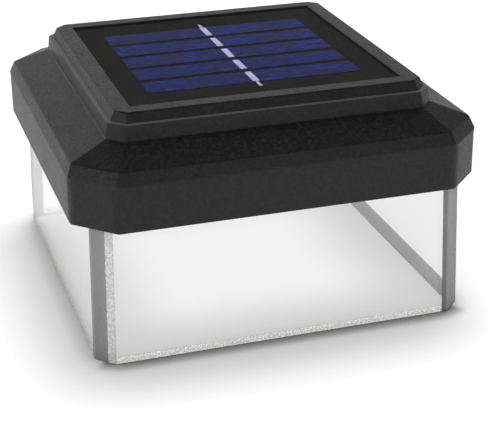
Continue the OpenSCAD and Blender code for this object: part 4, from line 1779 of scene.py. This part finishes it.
@dataclass(frozen=True)
class Fastener:
    """A pan-head screw with a cross slot, modelled once for its size, point up, its seat at z = 0.

    The dome and the slot are shares of the head, the point a share of the shank.
    """

    shank: float
    length: float
    head: float
    head_height: float
    dome: float = 0.45
    point: float = 0.6
    blunt: float = 0.25
    slot_reach: float = 0.31
    slot_half: float = 0.09
    edge: float = 0.05 * MM

    def build(self) -> Workpiece:
        """Models the screw.

        Returns:
            The screw.
        """
        height = self.head_height
        screw = Workpiece.drum("screw", self.head / 2, (0.0, 0.0, -height), height, sides=40)
        with screw.editing() as hand:
            hand.pick(Kind.EDGE, lambda at, way: near(at.z, -height))
            hand.soften(self.dome * height, segments=4)
            hand.pick_facing(UP)
            hand.inset((self.head - self.shank) / 2)
            hand.push((0.0, 0.0, self.length - self.point * self.shank))
            hand.push((0.0, 0.0, self.point * self.shank))
            hand.scale((self.blunt, self.blunt, 1.0))
        arm, half = self.slot_reach * self.head, self.slot_half * self.head
        low, high = -height - OVERCUT, -self.dome * height
        for x, y in ((arm, half), (half, arm)):
            screw.combine(Mix.CUT, Workpiece.block("slot", (-x, -y, low), (x, y, high)))
        return screw.soften(self.edge, segments=1, angle=50.0)

    def set_at(self, name: str, places: Sequence[Point], body: Body, node: str, flip: bool = False) -> None:
        """Copies the screw to its places as one piece.

        Args:
            name: The piece's name.
            places: The middles of the seats.
            body: The body that the screws move with.
            node: The node that they stand for.
            flip: Whether they point down.
        """
        screw = self.build()
        copies = [screw.copy_to(f"{name}_{i}", place, flip) for i, place in enumerate(places)]
        screw.discard()
        copies[0].absorb(copies[1:], name).shade(angle=35.0)
        copies[0].fit(body, SCREW_STEEL, "screw_steel", node)


@dataclass
class Chassis:
    """The plate that closes the cap, its gasket, and the screws that hold cap and skirt."""

    low: float = 46.0 * MM
    boss_at: float = 41.0 * MM
    ear_at: float = 46.3 * MM
    ear_seat: float = 44.0 * MM
    soft_edge: float = 0.25 * MM
    case_screw: Fastener = Fastener(shank=2.9 * MM, length=8.0 * MM, head=5.4 * MM, head_height=1.7 * MM)

    def build(self) -> None:
        """Models the chassis and sets its screws."""
        plate = Workpiece.like_node("chassis_plate", "chassis")
        plate.soften(self.soft_edge, angle=40.0).shade()
        plate.fit(Body.LIGHT, CHASSIS_BLACK, "chassis_plastic", "chassis")
        dress(SILICONE, "chassis_gasket")
        corners = four_places(self.boss_at, self.boss_at, (0.0, 0.0, self.low))
        self.case_screw.set_at("case_screws", corners, Body.LIGHT, "chassis_screws")
        ears = [quarter_turned((0.0, -self.ear_at, self.ear_seat), side) for side in range(4)]
        self.case_screw.set_at("ear_screws", ears, Body.LIGHT, "skirt_screws")


@dataclass
class LedRing:
    """Four white boards with LEDs that shine down into the skirt's top edge."""

    size: Point = (3.5 * MM, 2.8 * MM, 0.8 * MM)
    corner: float = 0.25 * MM
    frame: float = 0.45 * MM
    well_slope: float = 0.12 * MM
    well_depth: float = 0.15 * MM
    pitch: float = 19.0 * MM
    per_side: int = 4
    reach: float = 53.2 * MM
    low: float = 47.6 * MM
    sides: tuple[str, ...] = ("front", "right", "back", "left")

    def build(self) -> None:
        """Models one LED and lays four on each side."""
        led = self.build_led()
        for turn, side in enumerate(self.sides):
            row = []
            for number in range(self.per_side):
                x = (number - (self.per_side - 1) / 2) * self.pitch
                copy = led.copy_to(f"led_{side}_{number}", (x, -self.reach, self.low))
                row.append(copy.quarter_turn(turn))
            row[0].absorb(row[1:], f"led_row_{side}").shade(angle=40.0)
            row[0].fit(Body.LIGHT, PHOSPHOR, "led_phosphor", f"leds_{side}")
            dress(BOARD_WHITE, f"led_board_{side}")
        led.discard()

    def build_led(self) -> Workpiece:
        """Models an LED, a frame with a well for its gel.

        Returns:
            The LED.
        """
        length, width, height = self.size
        led = Workpiece.block("led", (-length / 2, -width / 2, 0.0), (length / 2, width / 2, height))
        with led.editing() as hand:
            hand.round_uprights(self.corner, segments=2)
            hand.pick_facing(DOWN)
            hand.inset(self.frame)
            hand.inset(self.well_slope, -self.well_depth)
        return led


@dataclass
class Door:
    """The battery door: a plate with round corners and two cradles that hold the cell up."""

    length: float = 75.9 * MM
    width: float = 21.7 * MM
    middle_y: float = 8.0 * MM
    low: float = 43.7 * MM
    thickness: float = 1.8 * MM
    corner: float = 4.0 * MM
    cradle_at: float = 12.625 * MM
    cradle_thickness: float = 3.0 * MM
    cradle_width: float = 14.1 * MM
    cradle_top: float = 49.625 * MM
    cell_axis: float = 53.75 * MM
    cell_radius: float = 7.55 * MM
    cell_reach: float = 30.0 * MM
    screw_at: float = 33.75 * MM
    hole_radius: float = 1.35 * MM
    hole_length: float = 5.0 * MM
    rim_edge: float = 0.4 * MM
    edge: float = 0.15 * MM
    screw: Fastener = Fastener(shank=2.2 * MM, length=9.0 * MM, head=4.0 * MM, head_height=1.2 * MM)

    def build(self) -> None:
        """Models the door and sets its screws."""
        x, y, middle = self.length / 2, self.width / 2, self.middle_y
        door = Workpiece.block("door", (-x, middle - y, self.low), (x, middle + y, self.low + self.thickness))
        with door.editing() as hand:
            hand.round_uprights(self.corner, segments=8)
            hand.pick(Kind.EDGE, lambda at, way: near(at.z, self.low))
            hand.soften(self.rim_edge, segments=3)
        for sign in (-1, 1):
            door.combine(Mix.ADD, self.cradle(sign * self.cradle_at))
        cell_start = (-self.cell_reach, middle, self.cell_axis)
        cell = Workpiece.lying_drum("cell", self.cell_radius, cell_start, 2 * self.cell_reach)
        door.combine(Mix.CUT, cell)
        places = [(sign * self.screw_at, middle, self.low) for sign in (-1, 1)]
        for place_x, place_y, place_z in places:
            start = (place_x, place_y, place_z - OVERCUT)
            door.combine(Mix.CUT, Workpiece.drum("hole", self.hole_radius, start, self.hole_length, sides=32))
        door.soften(self.edge, segments=1, angle=50.0).shade()
        door.fit(Body.DOOR, CHASSIS_BLACK, "chassis_plastic", "battery_door")
        dress(SILICONE, "door_gasket")
        self.screw.set_at("door_pins", places, Body.DOOR, "door_screws")

    def cradle(self, at: float) -> Workpiece:
        """The block that a cradle is cut from.

        Args:
            at: Its middle along X.

        Returns:
            The block.
        """
        half, side = self.cradle_thickness / 2, self.cradle_width / 2
        low = (at - half, self.middle_y - side, self.low + self.thickness / 2)
        return Workpiece.block("cradle", low, (at + half, self.middle_y + side, self.cradle_top))


@dataclass
class Battery:
    """The cell with its plain sleeve, the box over it and the contacts at its ends."""

    low_x: float = -22.25 * MM
    length: float = 50.5 * MM
    middle_y: float = 8.0 * MM
    axis_z: float = 53.75 * MM
    can_radius: float = 7.1 * MM
    can_edge: float = 0.2 * MM
    shoulder: float = 0.9 * MM
    groove: float = 0.3 * MM
    nub_radius: float = 2.75 * MM
    nub_flare: float = 0.4 * MM
    nub_length: float = 1.0 * MM
    foot_rim: float = 1.4 * MM
    foot_slope: float = 0.3 * MM
    foot_depth: float = 0.2 * MM
    sleeve_radius: float = 7.25 * MM
    sleeve_lip: float = 0.6 * MM
    sleeve_play: float = 0.01 * MM
    sleeve_edge: float = 0.05 * MM

    def build(self) -> None:
        """Models the cell and dresses the box and contacts."""
        self.build_can()
        self.build_sleeve()
        dress(CHASSIS_BLACK, "battery_box")
        dress(NICKEL, "positive_contact", "negative_contact", "negative_spring")

    def build_can(self) -> None:
        """Models the can, with its nub on the right and a dished foot on the left."""
        start = (self.low_x, self.middle_y, self.axis_z)
        can = Workpiece.lying_drum("cell_can", self.can_radius, start, self.length - self.nub_length)
        with can.editing() as hand:
            hand.pick_facing(RIGHT)
            hand.inset(self.shoulder)
            hand.inset(self.groove, -self.groove)
            nub = self.nub_radius + self.nub_flare
            hand.inset(self.can_radius - self.shoulder - self.groove - nub)
            hand.push((self.nub_length + self.groove, 0.0, 0.0))
            hand.pick_facing(LEFT)
            hand.inset(self.foot_rim)
            hand.inset(self.foot_slope, -self.foot_depth)
        can.soften(self.can_edge, angle=50.0).shade()
        can.fit(Body.CELL, CAN_STEEL, "cell_can", "battery_can")

    def build_sleeve(self) -> None:
        """Models the sleeve, a tube that leaves a lip of the can bare at both ends."""
        start = (self.low_x + self.sleeve_lip, self.middle_y, self.axis_z)
        length = self.length - self.nub_length - 2 * self.sleeve_lip
        sleeve = Workpiece.lying_drum("cell_sleeve", self.sleeve_radius, start, length)
        core_start = (self.low_x - OVERCUT, self.middle_y, self.axis_z)
        core = Workpiece.lying_drum("core", self.can_radius + self.sleeve_play, core_start, self.length)
        sleeve.combine(Mix.CUT, core)
        sleeve.soften(self.sleeve_edge, segments=1, angle=50.0).shade()
        sleeve.fit(Body.CELL, CELL_GREEN, "cell_sleeve", "battery_sleeve")


@dataclass
class Switch:
    """The push switch with its red button."""

    at: tuple[float, float] = (24.2 * MM, -15.55 * MM)
    low: float = 44.2 * MM
    head_radius: float = 3.0 * MM
    head_top: float = 46.7 * MM
    dish_rim: float = 0.7 * MM
    dish_slope: float = 0.5 * MM
    dish_depth: float = 0.15 * MM
    collar_radius: float = 2.6 * MM
    collar_low: float = 49.65 * MM
    collar_top: float = 50.65 * MM
    stem_radius: float = 2.0 * MM
    stem_top: float = 52.2 * MM
    edge: float = 0.2 * MM

    def build(self) -> None:
        """Models the button on its stem and dresses the switch's body."""
        x, y = self.at
        button = Workpiece.drum("button", self.head_radius, (x, y, self.low), self.head_top - self.low)
        with button.editing() as hand:
            hand.pick_facing(DOWN)
            hand.inset(self.dish_rim)
            hand.inset(self.dish_slope, -self.dish_depth)
            hand.pick_facing(UP)
            hand.inset(self.head_radius - self.stem_radius)
            hand.push((0.0, 0.0, self.collar_low - self.head_top))
            self.widen(hand, self.collar_radius / self.stem_radius)
            hand.push((0.0, 0.0, self.collar_top - self.collar_low))
            self.widen(hand, self.stem_radius / self.collar_radius)
            hand.push((0.0, 0.0, self.stem_top - self.collar_top))
        button.soften(self.edge, angle=50.0).shade()
        button.fit(Body.BUTTON, BUTTON_RED, "button_red", "switch_button")
        dress(SWITCH_BLACK, "switch_body")

    def widen(self, hand: Hand, factor: float) -> None:
        """Steps the picked round face out or in about the button's axis."""
        hand.push(ORIGIN)
        hand.scale((factor, factor, 1.0), (*self.at, 0.0))


@dataclass
class Circuit:
    """The driver board with its parts, screws and wires."""

    board_screw: Fastener = Fastener(shank=2.2 * MM, length=4.0 * MM, head=4.0 * MM, head_height=1.2 * MM)
    middle: Point = (-8.0 * MM, -15.55 * MM, 52.6 * MM)
    screw_x: float = 19.0 * MM
    screw_y: float = 8.0 * MM

    def build(self) -> None:
        """Dresses the board's parts and wires and sets its screws."""
        dress(BOARD_GREEN, "circuit_board")
        dress(CHIP_BLACK, "driver_chip")
        dress(COIL_BROWN, "boost_coil")
        dress(CAPACITOR_BLUE, "capacitor")
        dress(RESISTOR_TAN, "resistor")
        places = four_places(self.screw_x, self.screw_y, self.middle)
        self.board_screw.set_at("board_pins", places, Body.LIGHT, "board_screws", flip=True)
        dress(WIRE_RED, "panel_wire_red", "battery_wire_red")
        dress(WIRE_BLACK, "panel_wire_black", "battery_wire_black")
        dress(WIRE_GREY, "switch_wires", "led_wires")


def main() -> None:
    """Builds the light's sub-assemblies in order."""
    logging.basicConfig(level=logging.INFO, format="%(message)s")
    parts = (Studio, Cap, Skirt, SolarPanel, Chassis, LedRing, Door, Battery, Switch, Circuit)
    for part in parts:
        log.info("-- %s", part.__name__)
        part().build()


if __name__ == "__main__":
    main()
